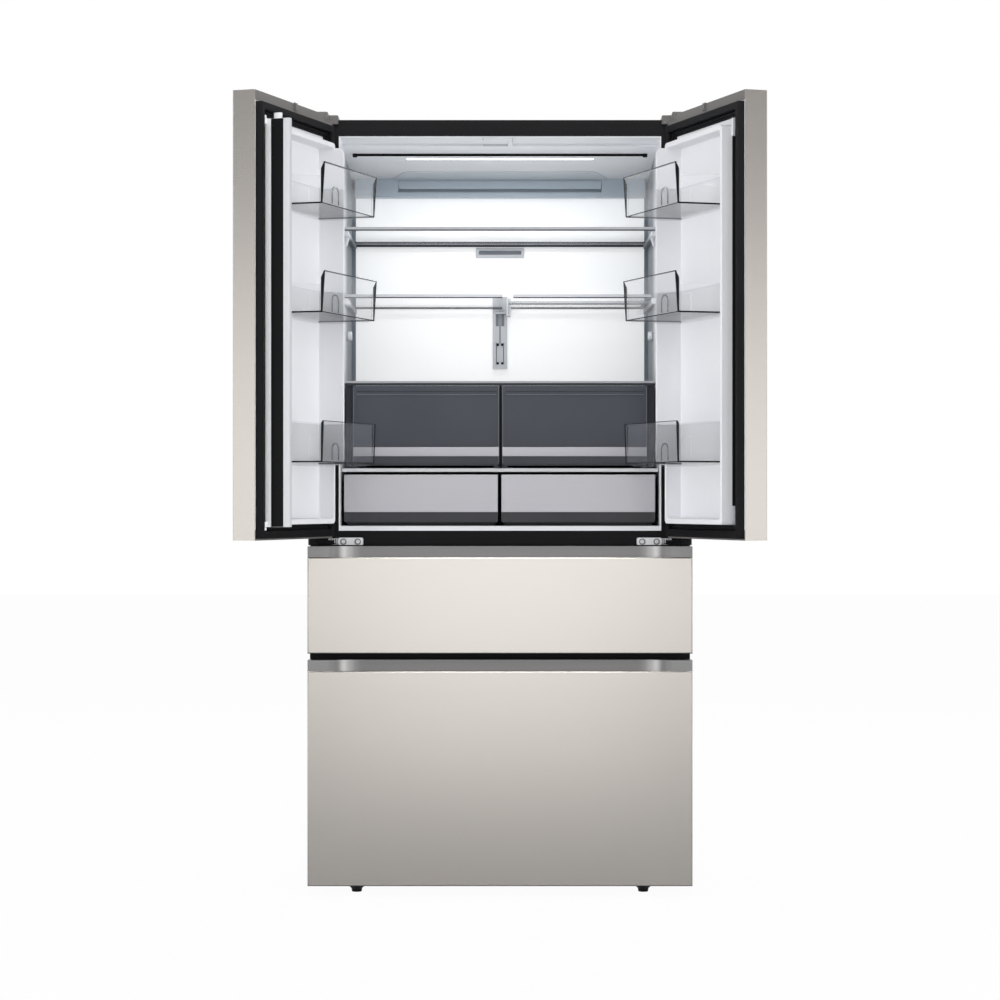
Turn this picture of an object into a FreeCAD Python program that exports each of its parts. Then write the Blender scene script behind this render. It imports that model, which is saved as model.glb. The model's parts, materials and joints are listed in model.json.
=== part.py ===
import FreeCAD, Part
import math
import os
import re

import Sketcher

# A refrigerator with two upper doors, a convertible middle drawer and a lower freezer drawer.
# Units are millimetres and degrees. +Z is up, the fronts face -Y, and the origin is on the floor
# under the middle of the object as it stands with both doors open. Depths are measured back from
# the plane of the closed fronts, and heights from the floor.

DIMENSIONS = {
    # Cabinet
    "front_plane": -137,
    "overall_depth": 698,
    "cabinet_width": 910,
    "cabinet_setback": 70,
    "frame_depth": 3,
    "sheet": 1,
    "running_gap": 0.3,
    "pin_gap": 0.05,
    "liner_wall": 3,
    # Stack of fronts
    "freezer_panel_low": 25,
    "freezer_panel_height": 509,
    "grip_height": 26,
    "drawer_gap": 16,
    "middle_panel_height": 228,
    "door_gap": 20,
    "door_height": 998,
    "top_gap": 2,
    "front_overhang": 1.5,
    "door_overhang": 2,
    "center_gap": 4,
    # Refrigerator room
    "side_wall": 72,
    "rear_wall": 88,
    "sill_rise": 27.7,
    "roof_depth": 42,
    "lip_height": 11.2,
    "step_back": 181,
    "step_drop": 6,
    "duct_drop": 44,
    # Drawer bays and machine room
    "bay_wall": 45,
    "bay_rear_wall": 98,
    "middle_sill": 30,
    "middle_head": 14,
    "freezer_sill": 41,
    "freezer_head": 18,
    "machine_depth": 223,
    "machine_height": 256,
    "hump_wall": 15,
    "hump_roof": 20,
    "base_plate": 4,
    # Upper doors
    "door_depth": 54,
    "skin_radius": 3,
    "hinge_inset": 13,
    "hinge_setback": 10,
    "open_angle": 108.4,
    "pin_radius": 6,
    "cap_height": 23,
    "notch_reach": 40,
    "notch_drop": 12,
    # Door gaskets
    "gasket_inset": 4,
    "gasket_hinge_gap": 9,
    "gasket_top_inset": 25,
    "flange_side": 38,
    "flange_end": 30,
    "flange_depth": 3,
    "bulb_width": 17,
    # Door liners and bins
    "dyke_sill": 7.3,
    "dyke_head": 34,
    "dyke_margins": 134,
    "dyke_wall": 6.5,
    "dyke_end": 12,
    "dyke_clearance": 16,
    "dyke_tall": 63,
    "dyke_step_rise": 6,
    "free_dyke_wall": 2.5,
    "bin_step_rise": 2,
    "bin_pitch": 332,
    "bin_head": 177,
    "bin_height": 92,
    "bin_clearance": 6,
    "bin_wall": 3,
    "bin_play": 0.5,
    "bin_radius": 14,
    # Mullion flap
    "flap_width": 61,
    "flap_depth": 14,
    "flap_sill": 2.3,
    "flap_head": 22,
    "flap_tail": 2.25,
    "flap_standoff": 3.75,
    "flap_clearance": 3,
    "flap_margin": 16,
    "flap_pin_radius": 2.5,
    "flap_pin_length": 7,
    "flap_lug_radius": 3.8,
    "flap_lug_height": 12,
    "ear_width": 10,
    "ear_height": 7.5,
    "cam_from": 18,
    "cam_width": 20,
    "cam_depth": 8,
    "cam_height": 13,
    "guide_left": 41,
    "guide_right": 30,
    "guide_gap": 5,
    "guide_depth": 75,
    "guide_height": 12,
    "guide_wall": 10,
    "guide_roof": 6,
    # Door hinges
    "hinge_plate": 4,
    "hinge_plate_reach": 55,
    "hinge_plate_length": 62,
    "hinge_plate_sheet": 3,
    "hinge_arm_rise": 3,
    "hinge_arm_depth": 8,
    "hinge_arm_half": 9,
    "hinge_arm_root": 14,
    "knuckle_radius": 11,
    "knuckle_drop": 15,
    "knuckle_gap": 2,
    "pin_reach": 18,
    "pin_end_gap": 1.5,
    "bracket_side": 10,
    "bracket_reach": 30,
    "bracket_length": 70,
    "cover_reach": 57,
    "cover_nose_reach": 36,
    "cover_gap": 3,
    "cover_rise": 10,
    "cover_door_gap": 4,
    "cover_length": 95,
    "cover_radius": 4,
    "screw_head": 8,
    "screw_head_depth": 3,
    "screw_shank": 3,
    "screw_inset": 14,
    "screw_slot": 2,
    "screw_slot_length": 9.6,
    # Back wall, ceiling and shelves
    "panel_side": 9,
    "panel_sill": 11,
    "panel_head": 86,
    "panel_depth": 8,
    "duct_depth": 50,
    "vent_side": 112,
    "vent_margin": 11,
    "vent_depth": 15,
    "grille_half": 63,
    "grille_drop": 154,
    "grille_height": 25,
    "grille_depth": 6,
    "grille_rim": 8,
    "column_half": 19,
    "column_sill": 58,
    "column_rise": 32,
    "column_depth": 12,
    "column_gap": 2,
    "socket_half": 10.6,
    "socket_rise": 11,
    "socket_height": 56,
    "socket_depth": 5,
    "lamp_side": 140,
    "lamp_front": 318,
    "lamp_depth": 16,
    "lamp_drop": 3,
    "slot_side": 19,
    "slot_front": 264,
    "slot_depth": 7,
    "shelf_side": 3,
    "upper_shelf_drop": 123,
    "shelf_pitch": 165,
    "glass": 5,
    "trim_depth": 8,
    "trim_height": 9,
    "left_shelf_end": 6,
    "right_shelf_start": 22,
    "pane_depth": 217,
    "pane_drop": 7,
    "ledge": 10,
    "rail_flange": 18,
    "flange_sheet": 6,
    "bracket_wall": 12,
    "bracket_setback": 10,
    "bracket_nose": 9,
    "bracket_heel": 40,
    # Crispers and pantry drawers
    "cover_glass": 8,
    "cover_trim": 5,
    "crisper_front": 200,
    "crisper_front_depth": 12,
    "crisper_rear_gap": 15,
    "crisper_lift": 8,
    "crisper_height": 195,
    "crisper_head": 3,
    "crisper_box_drop": 19,
    "crisper_play": 0.5,
    "crisper_left_inner": 2,
    "crisper_right_inner": 5,
    "crisper_inset": 4,
    "box_wall": 3,
    "strip_low": 23,
    "strip_height": 22,
    "strip_depth": 0.8,
    "frame_side": 2,
    "frame_lift": 7,
    "frame_plate": 8,
    "frame_front": 110,
    "frame_rear_gap": 10,
    "post_side": 5,
    "post_width": 18,
    "post_setback": 6,
    "runner_width": 14,
    "pantry_front_depth": 12,
    "pantry_rear_gap": 10,
    "pantry_lift": 8.3,
    "pantry_height": 115,
    "pantry_left_side": 7,
    "pantry_left_inner": 5,
    "pantry_right_inner": 3,
    "pantry_right_side": 9,
    "pantry_inset": 4,
    "pantry_box_drop": 20,
    "pantry_face_lift": 25,
    # Drawers
    "grip_foot": 7,
    "grip_lean": 20,
    "drawer_gasket_width": 16,
    "drawer_gasket_margin": 1,
    "drawer_box_wall": 4,
    "middle_box_lift": 6,
    "middle_box_head": 15,
    "middle_box_rear_gap": 40,
    "freezer_box_lift": 14,
    "freezer_box_head": 116,
    "freezer_box_rear_gap": 10,
    "middle_rail_lift": 28,
    "freezer_rail_drop": 138,
    "rail_height": 36,
    "rail_taper": 3,
    "rail_width": 10.4,
    "rail_seat": 10.6,
    "rail_setback": 12,
    "tray_side": 8,
    "tray_depth": 88,
    "tray_setback": 8,
    "tray_length": 268,
    "tray_rim": 3,
    # Feet and rollers
    "foot_side": 111,
    "foot_setback": 22,
    "foot_radius": 13.5,
    "foot_flare": 17.5,
    "foot_neck": 20,
    "foot_height": 27,
    "foot_lift": 3,
    "stem_radius": 5,
    "stem_length": 26,
    "boss_half": 12,
    "boss_roof": 4,
    "roller_side": 55,
    "roller_rear_gap": 78,
    "roller_radius": 22,
    "roller_width": 20,
    "axle_radius": 4,
    "cheek_sheet": 3,
    "cheek_half": 14,
    "cheek_skirt": 11,
    # Machinery
    "compressor_side": 195,
    "compressor_setback": 110,
    "compressor_radius": 78,
    "compressor_height": 150,
    "compressor_foot": 70,
    "compressor_chamfer": 15,
    "compressor_shoulder": 45,
    "compressor_crown": 55,
    "compressor_crown_drop": 10,
    "compressor_plate": 4,
    "condenser_left": 10,
    "condenser_width": 180,
    "condenser_setback": 45,
    "condenser_depth": 120,
    "condenser_height": 180,
    "fin_pitch": 15,
    "fin_slot": 8,
    "fan_blades": 5,
    "hub_radius": 18,
    "hub_depth": 16,
    "blade_width": 16,
    "condenser_fan_radius": 70,
    "condenser_fan_gap": 60,
    "condenser_fan_rise": 96,
    "motor_radius": 20,
    "motor_depth": 24,
    "motor_post": 14,
    "shaft_radius": 2.5,
    "evaporator_side": 110,
    "evaporator_gap": 8,
    "evaporator_depth": 36,
    "evaporator_lift": 3,
    "evaporator_head": 23,
    "cover_panel_gap": 55,
    "cover_panel": 3,
    "evaporator_fan_radius": 46,
    "evaporator_fan_drop": 66,
    "evaporator_fan_gap": 3,
    "fan_tip_gap": 4,
    "control_side": 205,
    "control_width": 120,
    "control_setback": 80,
    "control_depth": 90,
    "control_height": 170,
    "inlet_side": 60,
    "inlet_rise": 146,
    "inlet_width": 34,
    "inlet_height": 26,
    "inlet_depth": 26,
    "inlet_recess": 16,
    "inlet_wall": 3,
    "vent_pitch": 26,
    "vent_slot": 8,
    "vent_length": 90,
}

# Places and sizes that follow from the dimensions above.
DERIVED = {
    # Stack of fronts and rooms, from the floor up
    "case_bottom": "foot_height + foot_lift",
    "base_top": "case_bottom + base_plate",
    "freezer_panel_high": "freezer_panel_low + freezer_panel_height",
    "middle_panel_low": "freezer_panel_high + grip_height + drawer_gap",
    "middle_panel_high": "middle_panel_low + middle_panel_height",
    "door_bottom": "middle_panel_high + grip_height + door_gap",
    "door_top": "door_bottom + door_height",
    "cabinet_top": "door_top + top_gap",
    "freezer_floor": "freezer_panel_low + freezer_sill",
    "freezer_ceiling": "freezer_panel_high - freezer_head",
    "middle_floor": "middle_panel_low + middle_sill",
    "middle_ceiling": "middle_panel_high - middle_head",
    "room_floor": "door_bottom + sill_rise",
    "room_ceiling": "cabinet_top - roof_depth",
    # Across the cabinet
    "cabinet_half": "cabinet_width/2",
    "inside_half": "cabinet_half - sheet",
    "room_half": "cabinet_half - side_wall",
    "bay_half": "cabinet_half - bay_wall",
    "drawer_half": "cabinet_half + front_overhang",
    "door_width": "cabinet_half + door_overhang - center_gap/2",
    "axis_side": "cabinet_half + door_overhang - hinge_inset",
    # Behind the plane of the fronts
    "face": "front_plane + cabinet_setback",
    "case_front": "face + frame_depth",
    "rear": "front_plane + overall_depth",
    "axis_depth": "front_plane + hinge_setback",
    "front_back": "front_plane + door_depth",
    "room_back": "overall_depth - rear_wall",
    "bay_back": "overall_depth - bay_rear_wall",
    "machine_front": "overall_depth - machine_depth",
    "machine_top": "base_top + machine_height",
    "hump_front": "machine_front - hump_wall",
    "hump_top": "machine_top + hump_roof",
    # Doors, measured from the hinge axis
    "free_edge": "door_width - hinge_inset",
    "skin_back": "door_depth - hinge_setback",
    "bulb_depth": "cabinet_setback - door_depth - running_gap",
    "dyke_low": "room_floor + dyke_sill",
    "dyke_high": "room_ceiling - dyke_head",
    "dyke_span": "door_width - dyke_margins",
    "dyke_rise": "frame_front - door_depth - dyke_clearance",
    "dyke_step": "frame_low + frame_plate + dyke_step_rise",
    "flap_axis_inset": "flap_width/2 - flap_tail - center_gap/2",
    "flap_axis_rise": "cabinet_setback - door_depth - flap_standoff",
    "left_dyke_edge": "flap_axis_inset + flap_standoff + flap_depth + flap_clearance",
    "right_dyke_edge": "gasket_inset + flange_side",
    "dyke_inside": "left_dyke_edge + free_dyke_wall",
    "bin_low": "dyke_step + bin_step_rise",
    "bin_mid": "bin_low + bin_pitch",
    "bin_high": "dyke_high - bin_head",
    "bin_reach": "crisper_front - door_depth - bin_clearance",
    "flap_low": "room_floor + flap_sill",
    "flap_high": "room_ceiling - flap_head",
    "flap_u": "free_edge - flap_axis_inset",
    "flap_v": "skin_back + flap_axis_rise",
    "ear_depth": "bulb_depth - running_gap",
    "guide_front": "cabinet_setback + guide_gap",
    # Hinges
    "hinge_plate_out": "axis_side - hinge_plate_reach",
    "hinge_plate_inner": "hinge_plate_out - hinge_plate_length",
    "knuckle_top": "door_bottom - knuckle_gap",
    "hinge_arm_low": "knuckle_top - knuckle_drop + hinge_arm_rise",
    "hinge_mid": "hinge_arm_low + hinge_arm_depth/2",
    "cover_inner": "axis_side - cover_reach",
    "cover_nose": "axis_side - cover_nose_reach",
    "cover_low": "door_top - notch_drop + cover_gap",
    "cover_high": "cabinet_top + cover_rise",
    "cover_nose_back": "door_depth + cover_door_gap",
    "cover_back": "cabinet_setback + cover_length",
    # Inside the room
    "pantry_low": "room_floor + pantry_lift",
    "pantry_high": "pantry_low + pantry_height",
    "pantry_face_low": "pantry_low + pantry_face_lift",
    "frame_low": "pantry_high + frame_lift",
    "crisper_low": "frame_low + frame_plate + crisper_lift",
    "crisper_high": "crisper_low + crisper_height",
    "cover_shelf": "crisper_high + crisper_head",
    "panel_half": "room_half - panel_side",
    "panel_low": "cover_shelf + panel_sill",
    "panel_high": "room_ceiling - panel_head",
    "vent_half": "panel_half - vent_side",
    "grille_low": "panel_high - grille_drop",
    "upper_shelf": "panel_high - upper_shelf_drop",
    "half_shelf": "upper_shelf - shelf_pitch",
    "column_low": "cover_shelf + column_sill",
    "column_high": "half_shelf + column_rise",
    "socket_low": "column_low + socket_rise",
    "lamp_half": "room_half - lamp_side",
    "slot_half": "room_half - slot_side",
    "shelf_half": "room_half - shelf_side",
    "shelf_front": "crisper_front + cover_trim",
    "shelf_back": "room_back - panel_depth - column_depth - column_gap",
    "pane_split": "shelf_front + pane_depth",
    "bracket_front": "shelf_front + bracket_setback",
    "frame_half": "room_half - frame_side",
    "frame_back": "room_back - frame_rear_gap",
    "post_out": "room_half - post_side",
    "post_inner": "post_out - post_width",
    "post_front": "crisper_front + post_setback",
    "crisper_out": "post_inner - crisper_play",
    "crisper_back": "frame_back - crisper_rear_gap",
    "pantry_back": "frame_back - pantry_rear_gap",
    "pantry_left_out": "room_half - pantry_left_side",
    "pantry_right_out": "room_half - pantry_right_side",
    # Drawers
    "drawer_box_half": "bay_half - 2*rail_width - 2*running_gap - rail_seat",
    "middle_box_low": "middle_floor + middle_box_lift",
    "middle_box_high": "middle_ceiling - middle_box_head",
    "middle_box_back": "bay_back - middle_box_rear_gap",
    "middle_rail_low": "middle_floor + middle_rail_lift",
    "freezer_box_low": "freezer_floor + freezer_box_lift",
    "freezer_box_high": "freezer_ceiling - freezer_box_head",
    "freezer_box_back": "hump_front - freezer_box_rear_gap",
    "freezer_rail_low": "freezer_box_high - freezer_rail_drop",
    "rail_front": "cabinet_setback + rail_setback",
    "tray_half": "drawer_box_half - tray_side",
    "tray_low": "freezer_box_high - tray_depth",
    "tray_front": "door_depth + tray_setback",
    # Feet, rollers and machinery
    "foot_across": "cabinet_half - foot_side",
    "foot_back": "cabinet_setback + foot_setback",
    "stem_top": "case_bottom + stem_length",
    "boss_top": "stem_top + boss_roof",
    "roller_across": "cabinet_half - roller_side",
    "roller_back": "overall_depth - roller_rear_gap",
    "compressor_across": "compressor_side - cabinet_half",
    "compressor_back": "machine_front + compressor_setback",
    "condenser_front": "machine_front + condenser_setback",
    "condenser_fan_left": "condenser_left - condenser_fan_gap",
    "condenser_fan_height": "base_top + condenser_fan_rise",
    "evaporator_half": "bay_half - evaporator_side",
    "cover_panel_back": "bay_back - cover_panel_gap",
    "evaporator_front": "cover_panel_back + cover_panel + evaporator_gap",
    "evaporator_low": "hump_top + evaporator_lift",
    "evaporator_fan_front": "cover_panel_back + cover_panel + evaporator_fan_gap",
    "evaporator_fan_height": "freezer_ceiling - evaporator_fan_drop",
    "evaporator_high": "evaporator_fan_height - evaporator_fan_radius - evaporator_head",
    "control_left": "cabinet_half - control_side",
    "control_front": "machine_front + control_setback",
    "inlet_left": "cabinet_half - inlet_side",
    "inlet_low": "base_top + inlet_rise",
}

# A cutting solid passes the face that it opens by this much.
OVER = "1"
BIN_LEVELS = ("bin_low", "bin_mid", "bin_high")
MACHINE_VENTS = 8
FINS = 11
LEFT, RIGHT = -1, 1

document = FreeCAD.newDocument("refrigerator")
nodes = []


def fill_sheet():
    """Write every driving dimension into the spreadsheet under its own alias."""
    sheet = document.addObject("Spreadsheet::Sheet", "dims")
    for row, (alias, value) in enumerate(DIMENSIONS.items(), 1):
        sheet.set(f"A{row}", alias)
        sheet.set(f"B{row}", str(value))
        sheet.setAlias(f"B{row}", alias)
    document.recompute()


NAME = re.compile(r"\b(" + "|".join([*DIMENSIONS, *DERIVED]) + r")\b")


def written_out(match):
    """A name as the sheet's alias, or as the formula that it stands for."""
    name = match[1]
    if name in DERIVED:
        return f"({NAME.sub(written_out, DERIVED[name])})"
    return f"dims.{name}"


def bind(item, prop, formula):
    """Bind a property to a formula over the sheet's aliases."""
    item.setExpression(prop, NAME.sub(written_out, formula))


def place(item, x, y, z):
    for axis, formula in zip("xyz", (x, y, z)):
        bind(item, f"Placement.Base.{axis}", formula)
    return item


def back(depth):
    """The y of a depth measured from the plane of the closed fronts."""
    return f"front_plane + {depth}"


def span(half):
    return (f"-({half})", f"{half}")


def mirrored(side, low, high):
    """A stretch of x on the left, or its mirror image on the right."""
    if side == LEFT:
        return (f"-({high})", f"-({low})")
    return (f"{low}", f"{high}")


def box(name, x, y, z):
    """A block between two corners, each axis given as a low and a high formula."""
    block = document.addObject("Part::Box", name)
    for size, (low, high) in zip(("Length", "Width", "Height"), (x, y, z)):
        bind(block, size, f"({high}) - ({low})")
    return place(block, x[0], y[0], z[0])


def slope(name, x, y, front_z, back_z):
    """A block along y whose underside or top slopes between its front and back heights."""
    block = document.addObject("Part::Wedge", name)
    bounds = {"Xmin": x[0], "Xmax": x[1], "X2min": x[0], "X2max": x[1], "Ymin": y[0], "Ymax": y[1]}
    bounds |= {"Zmin": front_z[0], "Zmax": front_z[1], "Z2min": back_z[0], "Z2max": back_z[1]}
    for prop, formula in bounds.items():
        bind(block, prop, formula)
    return block


TURNS = {"x": FreeCAD.Rotation(FreeCAD.Vector(0, 1, 0), 90),
         "y": FreeCAD.Rotation(FreeCAD.Vector(1, 0, 0), -90),
         "z": FreeCAD.Rotation()}


def rod(name, start, length, radius, along="z"):
    """A cylinder from a start point along x, y or z."""
    cylinder = document.addObject("Part::Cylinder", name)
    cylinder.Placement.Rotation = TURNS[along]
    bind(cylinder, "Radius", radius)
    bind(cylinder, "Height", length)
    return place(cylinder, *start)


def fuse(name, *pieces):
    joined = document.addObject("Part::MultiFuse", name)
    joined.Shapes = list(pieces)
    joined.Refine = True
    return joined


def cut(name, base, *tools):
    result = document.addObject("Part::Cut", name)
    result.Base = base
    result.Tool = tools[0] if len(tools) == 1 else fuse(f"{name} tools", *tools)
    return result


def group(name, *pieces):
    """Separate solids that share one node."""
    compound = document.addObject("Part::Compound", name)
    compound.Links = list(pieces)
    return compound


def rounded(name, base, radius, picks):
    """Fillet the edges of a finished block that pass the given test."""
    document.recompute()
    fillet = document.addObject("Part::Fillet", name)
    fillet.Base = base
    size = DIMENSIONS[radius]
    bounds = base.Shape.BoundBox
    edges = [i for i, edge in enumerate(base.Shape.Edges, 1) if picks(edge, bounds)]
    fillet.Edges = [(i, size, size) for i in edges]
    return fillet


def upright(edge, bounds):
    first, last = (vertex.Point for vertex in edge.Vertexes)
    return abs(first.x - last.x) < 1e-6 and abs(first.y - last.y) < 1e-6


def upright_front(edge, bounds):
    return upright(edge, bounds) and abs(edge.Vertexes[0].Point.y - bounds.YMin) < 1e-6


def upright_rear(edge, bounds):
    return upright(edge, bounds) and abs(edge.Vertexes[0].Point.y - bounds.YMax) < 1e-6


def outline(name, role, points):
    """A body whose sketch on an origin plane is the polygon through the given formulas."""
    body = document.addObject("PartDesign::Body", name)
    sketch = body.newObject("Sketcher::SketchObject", f"{name}_outline")
    plane = next(feature for feature in body.Origin.OriginFeatures if feature.Role == role)
    sketch.AttachmentSupport = [(plane, "")]
    sketch.MapMode = "FlatFace"
    count = len(points)
    turn = 2 * math.pi / count
    ring = [FreeCAD.Vector(math.cos(i * turn), math.sin(i * turn), 0) for i in range(count)]
    for i in range(count):
        sketch.addGeometry(Part.LineSegment(ring[i], ring[(i + 1) % count]))
    for i in range(count):
        sketch.addConstraint(Sketcher.Constraint("Coincident", i, 2, (i + 1) % count, 1))
    for i, pair in enumerate(points):
        for kind, formula in zip(("DistanceX", "DistanceY"), pair):
            index = sketch.addConstraint(Sketcher.Constraint(kind, -1, 1, i, 1, 1.0))
            bind(sketch, f"Constraints[{index}]", formula)
    return body, sketch


def padded(name, role, points, length, centred=False):
    body, sketch = outline(name, role, points)
    pad = body.newObject("PartDesign::Pad", f"{name}_pad")
    pad.Profile = sketch
    bind(pad, "Length", length)
    pad.Midplane = centred
    return body


def turned(name, points):
    """A body of revolution about z from its half section in x and z."""
    body, sketch = outline(name, "XZ_Plane", points)
    spun = body.newObject("PartDesign::Revolution", f"{name}_turn")
    spun.Profile = sketch
    spun.ReferenceAxis = (sketch, ["V_Axis"])
    spun.Angle = 360
    return body


def node(name, item):
    """Name a finished sub-part; its label is its file name."""
    item.Label = name
    nodes.append(item)
    return item


BAYS = {"middle": ("middle_floor", "middle_ceiling"), "freezer": ("freezer_floor", "freezer_ceiling")}


def ceiling(depth):
    """Height of the sloping ceiling of the refrigerator room at a depth behind its step."""
    fall = "(duct_drop - step_drop)/(room_back - step_back)"
    return f"room_ceiling - step_drop - {fall}*({depth} - step_back)"


def liner_outside(name, grow="0"):
    side = span("room_half + liner_wall")
    depth = (f"face - {grow}", back("room_back + liner_wall"))
    return box(name, side, depth, ("room_floor - lip_height", "room_ceiling + liner_wall"))


def bay_outside(name, bay, grow="0"):
    """The outside of a drawer liner: the freezer's is shallower over the machine room."""
    low, high = BAYS[bay]
    side = span("bay_half + liner_wall")
    front = f"face - {grow}"
    deep_low = "hump_top" if bay == "freezer" else low
    deep = box(f"{name} deep", side, (front, back("bay_back + liner_wall")),
               (f"{deep_low} - liner_wall", f"{high} + liner_wall"))
    if bay == "middle":
        return deep
    shallow = box(f"{name} shallow", side, (front, back("hump_front + liner_wall")),
                  (f"{low} - liner_wall", f"{high} + liner_wall"))
    return fuse(name, deep, shallow)


def bay_inside(name, bay):
    low, high = BAYS[bay]
    front = f"face - {OVER}"
    deep_low = "hump_top" if bay == "freezer" else low
    deep = box(f"{name} deep", span("bay_half"), (front, back("bay_back")), (deep_low, high))
    if bay == "middle":
        return deep
    shallow = box(f"{name} shallow", span("bay_half"), (front, back("hump_front")), (low, high))
    return fuse(name, deep, shallow)


def feet_positions():
    return [(side, f"{side}*foot_across") for side in (LEFT, RIGHT)]


def roller_positions():
    return [(side, f"{side}*roller_across") for side in (LEFT, RIGHT)]


def boss(x, grow="0"):
    half = f"(boss_half + {grow})"
    return box("foot boss", (f"{x} - {half}", f"{x} + {half}"),
               (back(f"foot_back - {half}"), back(f"foot_back + {half}")), ("base_top", "boss_top"))


def build_case():
    shell = box("case outside", span("cabinet_half"), ("case_front", "rear"),
                ("case_bottom", "cabinet_top"))
    hollow = box("case inside", span("inside_half"), (f"case_front - {OVER}", f"rear + {OVER}"),
                 (f"case_bottom - {OVER}", "cabinet_top - sheet"))
    node("outer_case", cut("case", shell, hollow))


def build_front_frame():
    plate = box("frame plate", span("cabinet_half"), ("face", "case_front"), ("case_bottom", "cabinet_top"))
    openings = [liner_outside("room opening", OVER)]
    openings += [bay_outside(f"{bay} opening", bay, OVER) for bay in BAYS]
    holes = [screw_hole(side, x) for side in (LEFT, RIGHT) for x in lower_screw_places()]
    node("front_frame", cut("frame", plate, *openings, *holes))


def build_foam():
    block = box("foam block", span("inside_half"), ("case_front", "rear - sheet"),
                ("base_top", "cabinet_top - sheet"))
    machine = box("machine room", span("cabinet_half"), (back("machine_front"), "rear"),
                  (f"base_top - {OVER}", "machine_top"))
    rooms = [liner_outside("room hollow")] + [bay_outside(f"{bay} hollow", bay) for bay in BAYS]
    bosses = [boss(x) for _, x in feet_positions()]
    node("cabinet_foam", cut("foam", block, machine, *rooms, *bosses))


def build_liners():
    front = box("room front", span("room_half"), (f"face - {OVER}", back("step_back")),
                ("room_floor", "room_ceiling"))
    rest = slope("room rest", span("room_half"), (back("step_back"), back("room_back")),
                 ("room_floor", ceiling("step_back")), ("room_floor", ceiling("room_back")))
    node("fridge_liner", cut("room liner", liner_outside("room outside"), front, rest))
    liners = [cut(f"{bay} liner", bay_outside(f"{bay} outside", bay), bay_inside(f"{bay} inside", bay))
              for bay in BAYS]
    node("drawer_liners", group("liners", *liners))


def inlet_body(grow="0"):
    x = (f"inlet_left - {grow}", f"inlet_left + inlet_width + {grow}")
    z = (f"inlet_low - {grow}", f"inlet_low + inlet_height + {grow}")
    return x, z


def build_rear():
    """The upper rear panel, the slotted machine cover below it, and the mains inlet in that cover."""
    depth = ("rear - sheet", "rear")
    through = (f"rear - sheet - {OVER}", f"rear + {OVER}")
    panel = box("panel", span("inside_half"), depth, ("machine_top", "cabinet_top - sheet"))
    cover = box("machine cover plate", span("inside_half"), depth, ("base_top", "machine_top"))
    slots = []
    for row in range(MACHINE_VENTS):
        low = f"base_top + vent_pitch*({row} + 1)"
        x = ("compressor_across - vent_length/2", "compressor_across + vent_length/2")
        slots.append(box("vent slot", x, through, (low, f"{low} + vent_slot")))
    x, z = inlet_body()
    hole = box("inlet hole", x, through, z)
    socket = box("inlet block", x, ("rear - inlet_depth", "rear"), z)
    x, z = inlet_body("-inlet_wall")
    recess = box("inlet recess", x, ("rear - inlet_recess", f"rear + {OVER}"), z)
    node("rear_panels", group("panels", panel, cut("machine cover", cover, hole, *slots),
                              cut("inlet", socket, recess)))


def build_base():
    plate = box("base", span("inside_half"), ("case_front", "rear - sheet"), ("case_bottom", "base_top"))
    pieces = [plate]
    openings = []
    for _, x in feet_positions():
        pieces.append(boss(x))
        openings.append(rod("stem bore", (x, back("foot_back"), f"case_bottom - {OVER}"),
                            f"boss_top - case_bottom + 2*{OVER}", "stem_radius + pin_gap"))
    cheek_y = (back("roller_back - cheek_half"), back("roller_back + cheek_half"))
    wheel_y = (back("roller_back - roller_radius - 2*running_gap"),
               back("roller_back + roller_radius + 2*running_gap"))
    for _, x in roller_positions():
        half = "(roller_width/2 + running_gap)"
        openings.append(box("roller slot", (f"{x} - {half}", f"{x} + {half}"), wheel_y,
                            (f"case_bottom - {OVER}", f"base_top + {OVER}")))
        for way in (LEFT, RIGHT):
            inner = f"{x} + {way}*{half}"
            outer = f"{inner} + {way}*cheek_sheet"
            ends = (inner, outer) if way == RIGHT else (outer, inner)
            pieces.append(box("cheek", ends, cheek_y, ("cheek_skirt", "case_bottom")))
    axles = [rod("axle",
                 (f"{x} - roller_width/2 - running_gap - cheek_sheet", back("roller_back"),
                  "roller_radius"),
                 "roller_width + 2*running_gap + 2*cheek_sheet", "axle_radius",
                 "x") for _, x in roller_positions()]
    node("base_frame",
         fuse("base with axles", cut("base plate", fuse("base solids", *pieces), *openings), *axles))


def build_feet():
    section = [("0", "0"), ("foot_radius", "0"), ("foot_radius", "foot_neck"),
               ("foot_flare", "foot_height"),
               ("stem_radius", "foot_height"), ("stem_radius", "stem_top"), ("0", "stem_top")]
    for side, x in feet_positions():
        name = "left_foot" if side == LEFT else "right_foot"
        foot = turned(f"{name}_body", section)
        node(name, place(foot, x, back("foot_back"), "0"))


def build_rollers():
    wheels = []
    for _, x in roller_positions():
        start = (f"{x} - roller_width/2", back("roller_back"), "roller_radius")
        tyre = rod("tyre", start, "roller_width", "roller_radius", "x")
        bore = rod("roller bore", (f"{x} - roller_width/2 - {OVER}", *start[1:]),
                   f"roller_width + 2*{OVER}",
                   "axle_radius + pin_gap", "x")
        wheels.append(cut("roller", tyre, bore))
    node("rear_rollers", group("rollers", *wheels))


def ribbed(name, x, y, z):
    """A finned coil block: slots across its width leave the fins standing."""
    block = box(f"{name} block", x, y, z)
    slots = []
    for i in range(FINS):
        left = f"{x[0]} + fin_pitch*{i} + fin_slot"
        slots.append(box(f"{name} slot", (left, f"{left} + fin_slot"),
                         (y[0] + f" - {OVER}", f"{y[1]} - fin_slot"),
                         (f"{z[0]} + fin_slot", f"{z[1]} + {OVER}")))
    return cut(name, block, *slots)


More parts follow.
